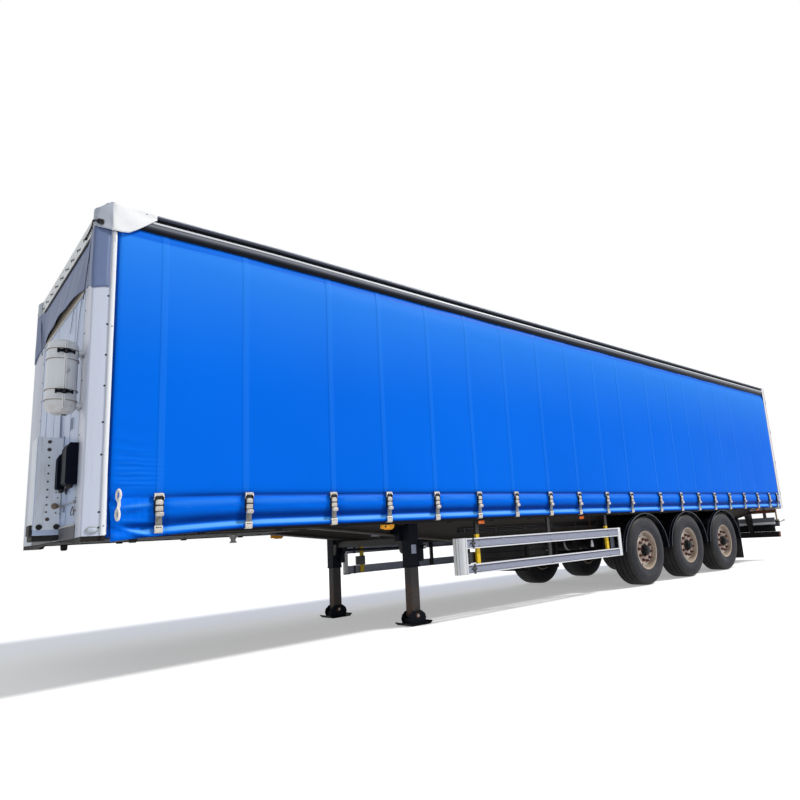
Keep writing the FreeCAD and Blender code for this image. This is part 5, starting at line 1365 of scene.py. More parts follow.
def connectorCovers():
    # Two upright moulded covers: a lidded box with a hinge bead, a foot with plug holes and a rubber skirt.
    cover = Build("connectorCovers", frontX)
    for y0, y1, low, high, reach in ((0.765, 0.93, 1.535, 1.868, 0.085), (0.478, 0.556, 1.53, 1.828, 0.075)):
        cover.box((0.001, y0 + 0.004, low + 0.004), (reach * 0.55, y1 - 0.004, high - 0.004), "coverNavy",
            0.006)
        outline = [(0.0, low), (reach * 0.86, low), (reach, low + 0.014), (reach, high - 0.045),
            (reach * 0.7, high), (0.0, high)]
        for y in (y0, y1 - 0.006):
            cover.strip([(0.001 + a, y, z) for a, z in outline], (0, 0.006, 0), "coverNavy")
        lid = [(reach * 0.52, high - 0.004), (reach * 0.7, high - 0.003), (reach - 0.002, high - 0.047),
            (reach - 0.002, low + 0.015), (reach * 0.84, low + 0.003), (reach * 0.52, low + 0.003)]
        cover.strip([(a, y0 + 0.006, z) for a, z in lid], (0, y1 - y0 - 0.012, 0), "coverNavy")
        for z in (low + 0.07, high - 0.1):
            cover.rod((reach * 0.5, y0 - 0.004, z), (reach * 0.5, y0 - 0.004, z + 0.035), 0.006, "coverNavy",
                10)
        for k in range(2):
            y = y0 + (y1 - y0) * (0.3 + 0.4 * k)
            cover.turned([(0, 0.01), (0, 0.019), (0.022, 0.017), (0.026, 0.013), (0.026, 0.0), (0.004, 0.0),
                (0.004, 0.01)], (reach * 0.45, y, low + 0.002), (0, 0, -1), "rubber", 16)
    skirt = []
    for k in range(9):
        t = k / 8
        skirt.append((0.004 + 0.028 * sin(t * pi), 0.552 + 0.215 * t, 1.585 + 0.09 * t))
    cover.ribbon(skirt, (0, 0, 0.2), 0.006, "rubberGrey")
    cover.piece("trailer", "black_plastic", ["connector_box"])


casePlan = {"ahead": 0.138, "y": 0.905, "low": 2.092, "radius": 0.107, "ribs": (2.198, 2.282, 2.532, 2.614),
    "latches": (2.25, 2.579),}


def caseHalf(build, first, last, x):
    # Half of a ribbed drum with domed ends: outer skin, inner skin and the rims that join them.
    plan = casePlan
    low, r = plan["low"], plan["radius"]
    skin = [(0.0, 0.0), (0.0, 0.062), (0.006, 0.073), (0.022, 0.092), (0.036, 0.101), (0.05, r)]
    for z in plan["ribs"]:
        a = z - low
        skin += [(a - 0.0075, r), (a - 0.006, r + 0.0055), (a + 0.006, r + 0.0055), (a + 0.0075, r)]
    skin += [(0.55, r), (0.566, 0.103), (0.582, 0.092), (0.594, 0.07), (0.598, 0.0)]
    inner = [(0.594, 0.0), (0.59, 0.066), (0.578, 0.088), (0.562, 0.098), (0.548, r - 0.005),
        (0.052, r - 0.005), (0.038, 0.0955), (0.025, 0.087), (0.01, 0.068), (0.005, 0.058), (0.005, 0.0)]
    loop = skin + inner
    steps, points = 28, []
    for i in range(steps + 1):
        angle = radians(first + (last - first) * i / steps)
        for a, radius in loop:
            points.append((x + radius * cos(angle), plan["y"] + radius * sin(angle), low + a))
    n = len(loop)
    faces = gridFaces(steps + 1, n, False)
    split = len(skin)
    for i in (0, steps):
        for k in range(split - 1):
            inside = n - 1 - min(round(k * (len(inner) - 1) / (split - 1)), len(inner) - 1)
            insideNext = n - 1 - min(round((k + 1) * (len(inner) - 1) / (split - 1)), len(inner) - 1)
            ring = [i * n + k, i * n + k + 1, i * n + insideNext]
            if insideNext != inside:
                ring.append(i * n + inside)
            faces.append(tuple(ring))
    build.add(points, faces, "caseWhite")


def safetyCase():
    plan = casePlan
    x, r = frontX + plan["ahead"], plan["radius"]
    back = Build("caseBack")
    caseHalf(back, 90, 270, x + 0.002)
    lid = Build("caseLid")
    caseHalf(lid, -90, 90, x + 0.0035)
    for side in (1, -1):
        y0, y1 = plan["y"] + side * (r - 0.006), plan["y"] + side * (r + 0.0185)
        back.blocks((x - 0.0085, x + 0.0015, y0, y1, 2.118, 2.66, "caseWhite", 0.002))
        if side > 0:
            lid.blocks((x + 0.004, x + 0.0125, y0, y1, 2.118, 2.66, "guardEdge", 0.002))
    for z in plan["latches"]:
        outline = [(-0.062, 0.014), (-0.052, 0.014), (-0.046, 0.008), (-0.02, 0.012), (0.004, 0.021),
            (0.026, 0.013), (0.044, 0.01), (0.052, 0.017), (0.062, 0.017), (0.062, -0.017), (0.052, -0.017),
            (0.044, -0.01), (0.026, -0.013), (0.004, -0.021), (-0.02, -0.012), (-0.046, -0.008),
            (-0.052, -0.014), (-0.062, -0.014)]
        y = plan["y"] + r + 0.012
        lid.strip([(x + a, y + 0.01 - 6.5 * a * a, z + b) for a, b in outline], (0, 0.012, 0), "coverNavy")
        lid.rod((x + 0.004, y + 0.014, z - 0.017), (x + 0.004, y + 0.014, z + 0.017), 0.008, "rubber", 12)
    back.turned([(0, 0), (0, 0.014), (0.006, 0.014), (0.01, 0.01), (0.01, 0)],
        (x - 0.014, plan["y"] + r + 0.01, 2.428), (0.15, 1, 0), "galvanised", 16)
    back.rod((x - 0.01, plan["y"] + r + 0.016, 2.404), (x - 0.01, plan["y"] + r + 0.024, 2.398), 0.005,
        "galvanised", 8)
    for z in (2.165, 2.605):
        back.blocks((frontX + 0.0005, frontX + 0.004, plan["y"] - 0.1, plan["y"] + 0.1, z - 0.022, z + 0.022,
            "galvanised", 0.001), (frontX + 0.0005, frontX + 0.045, plan["y"] - 0.06, plan["y"] + 0.06,
            z - 0.016, z + 0.016, "caseWhite", 0.004))
        for z2 in (z - 0.03, z + 0.03):
            back.rod((x + 0.003, plan["y"] - r - 0.0135, z2 - 0.014),
                (x + 0.003, plan["y"] - r - 0.0135, z2 + 0.014), 0.008, "caseWhite", 12)
    back.turned([(0, 0), (0, 0.022), (0.006, 0.02), (0.008, 0.0)],
        (x - 0.03, plan["y"] - 0.02, plan["low"] + 0.003), (0, 0, -1), "dark", 14)
    for build, first, last, shift in ((back, 92, 268, 0.0), (lid, -88, 88, 0.004)):
        for z in plan["ribs"]:
            ring = [(x + shift + (r + 0.0035) * cos(radians(first + (last - first) * k / 20)),
                plan["y"] + (r + 0.0035) * sin(radians(first + (last - first) * k / 20)),
                z - 0.0088) for k in range(21)]
            build.pipe(ring, 0.0026, "seamBrown", 6)
    back.piece("trailer", "white_plastic", ["extinguisher_case"], 30)
    lid.piece("case_lid", "white_plastic", ["extinguisher_lid"], 30)


def tieLoop():
    # Spare webbing tied in a loop that hangs beside the first strap.
    loop = Build("tieLoop")
    s, y = 0.206, 1.292

    def lobe(top, low, half, lean):
        ring = []
        for k in range(28):
            angle = tau * k / 28
            z = (top + low) / 2 + (top - low) / 2 * sin(angle)
            reach = half * (0.55 + 0.45 * (1 - abs(sin(angle)) ** 3)) * cos(angle)
            ring.append((at(s + lean * (z - low) + reach), y + 0.006 * cos(angle), z))
        loop.pipe(ring, 0.013, "loopWhite", 8, 0.7, closed=True)
    lobe(1.458, 1.372, 0.012, 0.02)
    lobe(1.312, 1.226, 0.01, -0.02)
    loop.strip([(at(s + a), y - 0.005, z) for a, z in ((0.016, 1.384), (-0.01, 1.384), (-0.004, 1.345),
        (-0.012, 1.3), (0.012, 1.3), (0.018, 1.345))], (0, 0.01, 0), "loopWhite")
    loop.rod((at(s + 0.002), 1.268, 1.452), (at(s + 0.002), y + 0.004, 1.452), 0.006, "galvanised", 10)
    loop.piece("trailer", "tarp_grey")


roofRails()
roofSheet()
for side, word in sides:
    cornerCap(side, word.capitalize())
laceBand()
frontTarp()
frontWallTrim()
frontPosts()
postEdges()
consoleDetails()
connectorCovers()
safetyCase()
tieLoop()
print("roof and front made")

# Wheels and tyres

wheelPlan = {"discSteps": 120, "holes": 10, "holeHalfSteps": 2, "studs": 10, "studRadius": 0.1675,
    "studFace": 0.1145,}
tyreOutline = [(0.1525, 0.286), (0.16, 0.297), (0.168, 0.301), (0.1725, 0.307), (0.1715, 0.313),
    (0.177, 0.33), (0.184, 0.35), (0.189, 0.372), (0.1915, 0.392), (0.1925, 0.408), (0.1925, 0.414),
    (0.19, 0.417), (0.1897, 0.426), (0.187, 0.442), (0.1825, 0.46), (0.1765, 0.476), (0.1735, 0.484),
    (0.175, 0.487), (0.1715, 0.497), (0.163, 0.512), (0.151, 0.523), (0.136, 0.531), (0.119, 0.5345),
    (0.1165, 0.522), (0.1075, 0.522), (0.105, 0.535), (0.0515, 0.536), (0.049, 0.522), (0.04, 0.522),
    (0.0375, 0.536)]
treadStart = 17
tyreSide, tyreTread = tyreOutline[:treadStart + 1], tyreOutline[treadStart:]
tyreTread += [(-a, r) for a, r in tyreTread[::-1]]
discOutline = [(0.064, 0.2745), (0.07, 0.262), (0.077, 0.252), (0.085, 0.244), (0.091, 0.234),
    (0.097, 0.224), (0.102, 0.216), (0.109, 0.202), (0.1135, 0.192), (0.1145, 0.184), (0.1145, 0.15),
    (0.1145, 0.098)]


def turnTyre(build, centre, axis):
    build.turned(tyreSide, centre, axis, "tyre", 96)
    build.turned(tyreTread, centre, axis, "tread", 96)
    build.turned([(-a, r) for a, r in tyreSide[::-1]], centre, axis, "tyre", 96)


def wheelCentre(name, word):
    low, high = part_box(f"tyre_{name}_{word}")
    return (low + high) / 2


def wheelDisc(name, centre, side):
    # Pressed disc with hand holes, cut as gaps in a polar grid.
    plan = wheelPlan
    steps, rows = plan["discSteps"], len(discOutline)
    points = [around(centre, r, tau * i / steps, side * a) for i in range(steps) for a, r in discOutline]
    faces = []
    spacing = steps // plan["holes"]
    for i in range(steps):
        edge = min(i % spacing, spacing - 1 - i % spacing)
        j = (i + 1) % steps
        for k in range(rows - 1):
            inHole = (k in (2, 3, 4, 5) and edge < plan["holeHalfSteps"] - (k in (2, 5)))
            if not inHole:
                faces.append((i * rows + k, j * rows + k, j * rows + k + 1, i * rows + k + 1))
    mesh = bpy.data.meshes.new(name)
    mesh.from_pydata(points, [], faces)
    mesh.materials.append(finish["rim"])
    work = bmesh.new()
    work.from_mesh(mesh)
    bmesh.ops.recalc_face_normals(work, faces=work.faces)
    ring = next(f for f in work.faces if abs(f.calc_center_median().y - centre.y - side * 0.1145) < 0.001)
    if ring.normal.y * side < 0:
        bmesh.ops.reverse_faces(work, faces=work.faces)
    work.to_mesh(mesh)
    work.free()
    smooth(mesh)
    piece = newObject(name, mesh)
    shell = piece.modifiers.new("plate", "SOLIDIFY")
    shell.thickness = 0.01
    shell.offset = -1.0
    return piece


def wheel(name, side, word):
    plan = wheelPlan
    centre = wheelCentre(name, word)
    body = f"wheelset_{name}_{word}"
    tag = name.capitalize() + word.capitalize()
    axis = (0, side, 0)
    tyre = Build("tyre" + tag)
    turnTyre(tyre, centre, axis)
    tyre.piece(body, "tyre", [f"tyre_{name}_{word}"], 30)
    hub = Build("wheelHub" + tag)
    for outline, shade, steps in ((((-0.1625, 0.302), (-0.1625, 0.276), (-0.05, 0.268), (0.06, 0.266),
            (0.115, 0.272), (0.15, 0.275), (0.159, 0.28), (0.1635, 0.29), (0.1635, 0.299), (0.159, 0.304),
            (0.15, 0.302), (0.148, 0.284), (-0.148, 0.284), (-0.15, 0.302)), "rimBarrel", 96),
            (((0.1146, 0.098), (0.1146, 0.198), (0.1154, 0.198), (0.1154, 0.098)), "rimBrown", 72),
            (((0.15, 0.302), (0.1655, 0.3035), (0.167, 0.3065), (0.164, 0.31), (0.15, 0.3105)), "beadRust",
            96), (((-0.0685, 0.0405), (-0.0685, 0.095), (0.112, 0.095), (0.112, 0.0405)), "dark", 32),
            (((0.113, 0.0), (0.113, 0.1), (0.12, 0.101), (0.128, 0.094), (0.15, 0.082), (0.168, 0.077),
            (0.176, 0.07), (0.178, 0.0)), "hubBlack", 40), (((0.176, 0.0), (0.176, 0.052), (0.184, 0.05),
            (0.189, 0.04), (0.189, 0.022), (0.192, 0.018), (0.192, 0.0)), "hubGrey", 28),
            (((0.06, 0.097), (0.06, 0.205), (-0.1135, 0.205), (-0.1135, 0.191), (0.046, 0.191),
            (0.046, 0.097)), "chassis", 56)):
        hub.turned(outline, centre, axis, shade, steps)
    stem = centre + Vector((0.232, 0, 0.1))
    hub.rod(stem + Vector((0, side * 0.085, 0)), stem + Vector((0.01, side * 0.15, 0)), 0.005, "steel", 8)
    for k in range(8):
        spot = around(centre, 0.062, tau * (k + 0.5) / 8, side * 0.17)
        hub.rod(spot, spot + Vector((0, side * 0.01, 0)), 0.006, "boltDark", 6)
    hub.piece(body, "rim_paint", [f"wheel_{name}_{word}"], 34)
    place(wheelDisc("wheelDisc" + tag, centre, side), body, "rim_paint")
    spots = [around(centre, plan["studRadius"], tau * (k + 0.25) / plan["studs"],
        side * plan["studFace"]) for k in range(plan["studs"])]
    nuts("wheelNuts" + tag, spots, axis, 0.0205, 0.036, "nutRust", body, "steel", 3)


def spareWheel():
    low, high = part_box("spare_tyre")
    tyre = Build("spareTyre")
    turnTyre(tyre, (low + high) / 2, (0, 0, 1))
    tyre.piece("trailer", "tyre", ["spare_tyre"], 30)


def mudguardTrim():
    trim = Build("mudguardEdges")
    for name in wheelNames:
        centre = wheelCentre(name, "left")
        for y, lift, radius, shade in ((1.2555, 0.002, 0.0075, "edgeGrey"),
                (1.205, 0.001, 0.0045, "edgeGrey"), (0.846, 0.002, 0.006, "blackPlastic")):
            line = []
            for k in range(49):
                angle = radians(1 + 178 * k / 48)
                line.append((centre.x + (0.64 + lift) * cos(angle), y,
                    centre.z + (0.572 + lift) * sin(angle)))
            trim.pipe(line, radius, shade, 8)
        for dx in (-0.15, 0.15):
            for y in (0.95, 1.15):
                z = centre.z + 0.572 * sqrt(1 - (dx / 0.64) ** 2)
                trim.box((centre.x + dx - 0.022, y - 0.03, z - 0.001),
                    (centre.x + dx + 0.022, y + 0.03, z + 0.006), "blackPlastic", 0.002)
                trim.rod((centre.x + dx, y, z + 0.004), (centre.x + dx, y, z + 0.012), 0.008, "boltDark", 6)
    trim.mirror().piece("trailer", "black_plastic")
    low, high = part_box("mudflaps")
    spots = [(low.x - 0.0005, side * (0.9 + 0.075 * k), high.z - 0.02) for side in (1, -1) for k in range(5)]
    nuts("flapBolts", spots, (-1, 0, 0), 0.008, 0.008, "boltDark", "trailer", "steel")


for name in wheelNames:
    for side, word in sides:
        wheel(name, side, word)
spareWheel()
mudguardTrim()
print("wheels made")

# Side guards

guardPlan = {"start": 3.856, "end": 7.06, "face": 1.255, "back": 1.225, "low": (0.505, 0.615),
    "high": (0.79, 0.91), "grooves": 7, "boltStations": (4.09, 5.4325, 6.775), "capRadius": 0.104,
    "capFlat": 0.022, "clampStation": 3.985,}


def sideGuard(side, word):
    plan = guardPlan
    guard = Build("sideGuard" + word.capitalize())
    start, end, face, back = at(plan["start"]), at(plan["end"]), plan["face"], plan["back"]
    x0, x1 = start - 0.02, end - 0.004
    for low, high in (plan["low"], plan["high"]):
        outline = [(back, low), (face - 0.001, low), (face - 0.001, low + 0.01), (face - 0.006, low + 0.012)]
        pitch = (high - low - 0.024) / plan["grooves"]
        for k in range(plan["grooves"]):
            z = low + 0.012 + k * pitch
            outline += [(face - 0.006, z + pitch * 0.62), (face - 0.0092, z + pitch * 0.7),
                (face - 0.0092, z + pitch * 0.92), (face - 0.006, z + pitch)]
        outline += [(face - 0.001, high - 0.01), (face - 0.001, high), (back, high), (back, high - 0.006),
            (face - 0.014, high - 0.006), (face - 0.014, low + 0.006), (back, low + 0.006)]
        guard.strip([(x0, y, z) for y, z in outline], (x1 - x0, 0, 0), "railGrey")
        for a, b, shade in ((low - 0.0005, low + 0.013, "guardEdge"),
                (high - 0.015, high + 0.0005, "guardEdge"), (high - 0.026, high - 0.015, "railShade"),
                (low + 0.013, low + 0.018, "railShade")):
            lift = 0.0006 if shade == "guardEdge" else -0.0004
            guard.box((x1, face - 0.012, a), (x0, face + lift, b), shade, 0.0004)
        x = at(plan["clampStation"])
        guard.blocks((x - 0.016, x + 0.016, back - 0.004, face + 0.003, low - 0.003, high + 0.003,
            "blackPlastic", 0.003), (x - 0.034, x + 0.05, face - 0.005, face + 0.004,
            (low + high) / 2 - 0.01, (low + high) / 2 + 0.01, "blackPlastic", 0.003))
    # Front cap: hollow quarter round with a flat side lap.
    r, flat = plan["capRadius"], plan["capFlat"]
    z0, z1 = plan["low"][0] - 0.004, plan["high"][1] + 0.004
    outer, inner = [], []
    for k in range(13):
        angle = radians(90 * k / 12)
        outer.append((start + r * cos(angle), face + 0.002 - r + r * sin(angle)))
        inner.append((start + (r - 0.005) * cos(angle), face + 0.002 - r + (r - 0.005) * sin(angle)))
    outer.append((start - flat, face + 0.002))
    inner.append((start - flat, face - 0.003))
    outline = outer + inner[::-1]
    guard.strip([(x, y, z0 + 0.006) for x, y in outline], (0, 0, z1 - z0 - 0.012), "capWhite")
    for low in (z0, z1 - 0.008):
        lid = [(x, y, low) for x, y in outer + [(start - flat, face - 0.03), (start, face + 0.002 - r)]]
        guard.strip(lid, (0, 0, 0.008), "capWhite")
    guard.box((start - flat - 0.003, face - 0.004, z0 + 0.002),
        (start - flat + 0.004, face + 0.0045, z1 - 0.002), "guardEdge", 0.002)
    for angle in (22, 40):
        x, y = start + r * cos(radians(angle)), face + 0.002 - r + r * sin(radians(angle))
        guard.rod((x, y, z0 + 0.004), (x, y, z1 - 0.004), 0.0028, "seamGrey" if angle == 40 else "seamBrown",
            6)
    guard.box((start + 0.004, face - 0.001, z0 + 0.004), (start + 0.001, face + 0.0035, z1 - 0.004),
        "seamGrey", 0.0006)
    guard.blocks((at(4.105), at(3.96), 1.135, 1.185, 0.622, 0.748, "blackGloss", 0.006),
        (end - 0.034, end + 0.04, face - 0.016, face + 0.003, z0 + 0.002, z1 - 0.002, "guardEdge", 0.004),
        (end + 0.08, end + 0.18, back - 0.03, back - 0.02, plan["low"][1], plan["high"][0], "edgeGrey",
        0.002))
    if side < 0:
        guard.points = [(x, -y, z) for x, y, z in guard.points]
    guard.piece("trailer", "aluminium", ["side_guard_" + word])
    spots = [(at(s), side * (face - 0.006), sum(band) / 2 + dz) for s in plan["boltStations"]
        for band in (plan["low"], plan["high"]) for dz in (-0.028, 0.028)]
    nuts("guardBolts" + word.capitalize(), spots, outward(spots), 0.007, 0.006, "galvanised", "trailer",
        "steel")


def guardHanger():
    # Small pale drop handle that hangs below the beam.
    handle = Build("drainHandle")
    x, y = at(6.47), 1.16
    handle.pipe([(x, y, 1.105), (x, y, 0.95), (x - 0.002, y, 0.8), (x, y, 0.755)], 0.004, "rustSteel", 6)
    handle.turned([(0, 0.006), (0.012, 0.01), (0.06, 0.02), (0.088, 0.024), (0.096, 0.018), (0.098, 0),
        (0, 0)], (x, y, 0.765), (0, 0, -1), "capWhite", 14)
    handle.piece("trailer", "steel")


for side, word in sides:
    sideGuard(side, word)
guardHanger()
print("side guards made")

# Landing gear

legPlan = {"station": 3.39, "y": 0.82, "inner": 0.1184, "footReach": 0.165, "footHalf": 0.135,}


def landingFeet():
    plan = legPlan
    feet = Build("landingFeetBuilt")
    x, y, half = at(plan["station"]), plan["y"], plan["inner"] / 2
    feet.box((x - half, y - half, 0.085), (x + half, y + half, 1.045), "legInner", 0.006)
    reach = plan["footReach"]
    boat = [(-reach, 0.03), (-reach + 0.03, 0.004), (-reach + 0.045, 0.0), (reach - 0.045, 0.0),
        (reach - 0.03, 0.004), (reach, 0.03), (reach - 0.006, 0.036), (reach - 0.034, 0.015),
        (reach - 0.048, 0.012), (-reach + 0.048, 0.012), (-reach + 0.034, 0.015), (-reach + 0.006, 0.036)]
    feet.strip([(x + a, y - plan["footHalf"], z) for a, z in boat], (0, 2 * plan["footHalf"], 0), "legPaint")
    ear = [(-0.105, 0.011), (-0.124, 0.07), (-0.11, 0.112), (-0.062, 0.152), (0.062, 0.152), (0.11, 0.112),
        (0.124, 0.07), (0.105, 0.011)]
    for d in (-half - 0.0125, half + 0.0005):
        feet.strip([(x + a, y + d, z) for a, z in ear], (0, 0.012, 0), "legPaint")
    for d in (-0.098, 0.088):
        feet.strip([(x + d, y - half - 0.01, 0.012), (x + d, y + half + 0.01, 0.012),
            (x + d, y + half + 0.01, 0.08), (x + d, y - half - 0.01, 0.08)], (0.01, 0, 0), "legPaint")
    feet.rod((x, y - half - 0.03, 0.1), (x, y + half + 0.03, 0.1), 0.017, "steel", 16)
    for sign in (-1, 1):
        feet.turned([(0, 0.0), (0, 0.03), (0.006, 0.03), (0.006, 0.0)], (x, y + sign * (half + 0.014), 0.1),
            (0, sign, 0), "rustSteel", 16)
    feet.mirror().piece("trailer", "chassis_paint", ["landing_feet"])


def legDetails():
    plan = legPlan
    part = Build("legDetails")
    x, y = at(plan["station"]), plan["y"]
    plate = [(0.752, 1.1), (0.752, 0.792), (0.725, 0.785), (0.695, 0.812), (0.68, 0.88), (0.668, 0.958),
        (0.612, 0.985), (0.612, 1.1)]
    for dx in (0.052, -0.062):
        part.strip([(x + dx, a, b) for a, b in plate], (0.01, 0, 0), "legBrown")
    part.blocks((x - 0.0685, x + 0.0685, y - 0.0685, y - 0.059, 0.63, 0.655, "legPaint", 0.002),
        (x - 0.072, x + 0.072, y - 0.072, y + 0.072, 0.628, 0.64, "legPaint", 0.003),
        (x - 0.135, x - 0.066, y - 0.052, y + 0.08, 0.688, 0.926, "legPaint", 0.008))
    part.rod((x - 0.098, y + 0.078, 0.85), (x - 0.098, y + 0.15, 0.85), 0.024, "legPaint", 18)
    part.blocks((x - 0.118, x - 0.078, y + 0.146, y + 0.152, 0.838, 0.862, "steel", 0.002),
        (x - 0.03, x + 0.04, y + 0.0675, y + 0.069, 0.78, 0.88, "labelPale", 0.0006))
    for z in (1.02, 0.97):
        for dx in (-0.085, 0.085):
            part.rod((x + dx, 0.671, z), (x + dx, 0.69, z), 0.012, "boltDark", 6)
    part.mirror()
    part.box((x - 0.045, -0.752, 0.888), (x + 0.038, 0.752, 0.97), "legBrown", 0.006)
    part.pipe([(x + 0.02, 0.3, 0.972), (x + 0.05, 0.22, 1.02), (x + 0.06, 0.1, 1.05)], 0.012, "legBrown", 8)
    part.box((x + 0.03, 0.16, 1.0), (x + 0.08, 0.3, 1.045), "labelPale", 0.006)
    part.piece("trailer", "chassis_paint")


def underHemFittings():
    fit = Build("underHemFittings")
    lug = [(-0.034, 1.125), (0.034, 1.125), (0.03, 1.066), (0.02, 1.054), (-0.02, 1.054), (-0.03, 1.066)]
    fit.strip([(at(0.33) + a, 1.232, z) for a, z in lug], (0, 0.022, 0), "dark")
    bracket = [(-0.088, 1.128), (0.088, 1.128), (0.078, 1.078), (0.052, 1.056), (-0.036, 1.056),
        (-0.062, 1.066)]
    fit.strip([(at(2.78) - a, 1.226, z) for a, z in bracket], (0, 0.006, 0), "guardOrange")
    fit.mirror()
    for side in (1, -1):
        for s in np.arange(0.86, 13.3, 0.7):
            fit.blocks((at(s) - 0.03, at(s) + 0.03, side * 1.205, side * 1.238, 1.098, 1.112, "chassis",
                0.003))
    fit.piece("trailer", "chassis_paint")


landingFeet()
legDetails()
underHemFittings()
print("landing gear made")

# Lamps and rear end

lampPlan = {"markers": (2.735, 4.148, 6.16, 12.4), "markerHalf": 0.05, "rearInner": 0.83, "rearOuter": 1.18,}


def markerLamps():
    plan = lampPlan
    lamps = Build("sideMarkers")
    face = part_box("lamps")[1].y
    back, half = face - 0.024, plan["markerHalf"]
    for s in plan["markers"]:
        x = at(s)
        base, shell, glass = ("guardOrange", "guardOrange", "dark") if s < 3 else ("blackPlastic", "amber",
            "amberDeep")
        lamps.blocks((x - half - 0.003, x + half + 0.003, back, face - 0.01, 1.067, 1.111, base, 0.004),
            (x - half, x + half, face - 0.012, face, 1.07, 1.108, shell, 0.006),
            (x - 0.01, x + 0.01, face - 0.004, face + 0.001, 1.078, 1.1, glass, 0.002))
    lamps.mirror()
    x = at(13.64)
    for side in (1, -1):
        edge = side * plan["rearOuter"]
        lamps.blocks((x - 0.044, x, side * plan["rearInner"], edge, 0.7, 0.83, "blackPlastic", 0.01))
        for a, b, shade in ((0.006, 0.1, "amber"), (0.106, 0.215, "red"), (0.221, 0.285, "clear"),
                (0.291, 0.344, "red")):
            lamps.blocks((x - 0.06, x - 0.04, edge - side * a, edge - side * b, 0.708, 0.822, shade, 0.008))
        lamps.blocks((x - 0.012, x - 0.002, edge, edge - side * 0.35, 0.832, 0.85, "chassis", 0.003))
    lamps.piece("trailer", "lamp", ["lamps"])


def armLamps():
    arm = Build("armLamps")
    for side in (1, -1):
        run = [(at(13.65), side * 1.11, 0.8), (at(13.69), side * 1.165, 0.795),
            (at(13.735), side * 1.215, 0.812), (at(13.772), side * 1.243, 0.826)]
        arm.pipe(run, 0.0085, "rubber", 10, 0.8)
        arm.turned([(-0.018, 0), (-0.018, 0.01), (-0.006, 0.015), (0.01, 0.015), (0.018, 0.01), (0.018, 0)],
            (at(13.772), side * 1.243, 0.828), (1, 0, 0), "blackPlastic", 16)
        arm.blocks((at(13.665), at(13.64), side * 1.12, side * 1.15, 0.8, 1.078, "armBeige", 0.003))
    arm.piece("trailer", "lamp")


def dockBuffers():
    low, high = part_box("rear_bumpers")
    buffers = Build("dockBuffers")
    for side in (1, -1):
        y0, y1 = sorted((side * (high.y - 0.12), side * high.y))
        buffers.blocks((low.x + 0.001, high.x, y0, y1, low.z, high.z, "rubber", 0.016),
            (high.x - 0.012, high.x, y0 - 0.012, y1 + 0.012, low.z - 0.004, high.z + 0.004, "galvanised",
            0.002))
        for z in (low.z + 0.028, high.z - 0.028):
            buffers.turned([(0, 0.016), (0.014, 0.014), (0.014, 0.009), (0.006, 0.008), (0.006, 0), (0, 0)],
                (low.x - 0.002, (y0 + y1) / 2, z), (-1, 0, 0), "galvanised", 14)
    buffers.piece("trailer", "rubber", ["rear_bumpers"])


def rearDetails():
    # Seals, keepers and blank plates of the rear portal.
    top, low, x = 3.708, 1.238, at(13.72)
    for side, word in sides:
        seal = Build("doorSeals" + word.capitalize())
        outer, inner = side * (1.163 - 0.012), side * 0.01
        for a, b in ((inner - side * 0.003, inner + side * 0.014),
                (outer - side * 0.014, outer + side * 0.004)):
            seal.blocks((x - 0.004, x, a, b, low, top, "rubber", 0.0015))
        for z in (low, top - 0.016):
            seal.blocks((x - 0.004, x, inner, outer, z, z + 0.016, "rubber", 0.0015))
        seal.blocks((x - 0.003, x, side * 0.42, side * 0.6, 1.62, 1.7, "capWhite", 0.001))
        seal.piece("door_" + word, "rubber")
        spots = [(x - 0.0005, side * y, z) for z in np.arange(1.36, 3.66, 0.23) for y in (0.045, 1.105)]
        rivets("doorRivets" + word.capitalize(), spots, (-1, 0, 0), 0.006, 0.4, "galvanised", "door_" + word,
            "steel", 4)
    sill = Build("rearSill")
    for side in (1, -1):
        for y in (0.19, 0.76):
            for z0, z1 in ((1.15, 1.186), (3.764, 3.8)):
                sill.blocks((x - 0.034, x - 0.0005, side * (y - 0.045), side * (y + 0.045), z0, z1,
                    "galvanised", 0.004))
    for y in np.arange(-0.95, 0.96, 0.38):
        shade = "red" if round(y * 10) % 2 else "capWhite"
        sill.blocks((x - 0.004, x - 0.0005, y - 0.1, y + 0.1, 1.096, 1.124, shade, 0.001))
    sill.blocks((x - 0.006, x - 0.0005, -0.27, 0.27, 1.128, 1.146, "blackPlastic", 0.002))
    for side in (1, -1):
        sill.blocks((at(13.6), at(13.5), side * 1.188, side * 1.1935, 0.47, 0.59, "rustSteel", 0.002),
            (at(13.601), at(13.598), side * 0.5, side * 0.94, 0.5, 0.56, "red", 0.0012))
    sill.blocks((at(13.598), at(13.56), -1.115, 1.115, 0.8, 0.9, "carrierGrey", 0.004),
        (at(13.598), at(13.566), -1.115, 1.115, 0.748, 0.8, "guardEdge", 0.004),
        (at(13.598), at(13.574), -1.1, 1.1, 0.592, 0.748, "blackGloss", 0.004),
        (at(13.618), at(13.57), -1.15, 1.15, 1.0, 1.076, "rustSteel", 0.004))
    for side in (1, -1):
        sill.blocks((at(13.7195), at(13.708), side * 1.264, side * 1.273, 1.1, 3.83, "edgeBeige", 0.001),
            (at(13.642), at(13.622), side * 1.264, side * 1.273, 1.1, 3.6, "whiteEdge", 0.001))
    sill.piece("trailer", "steel")


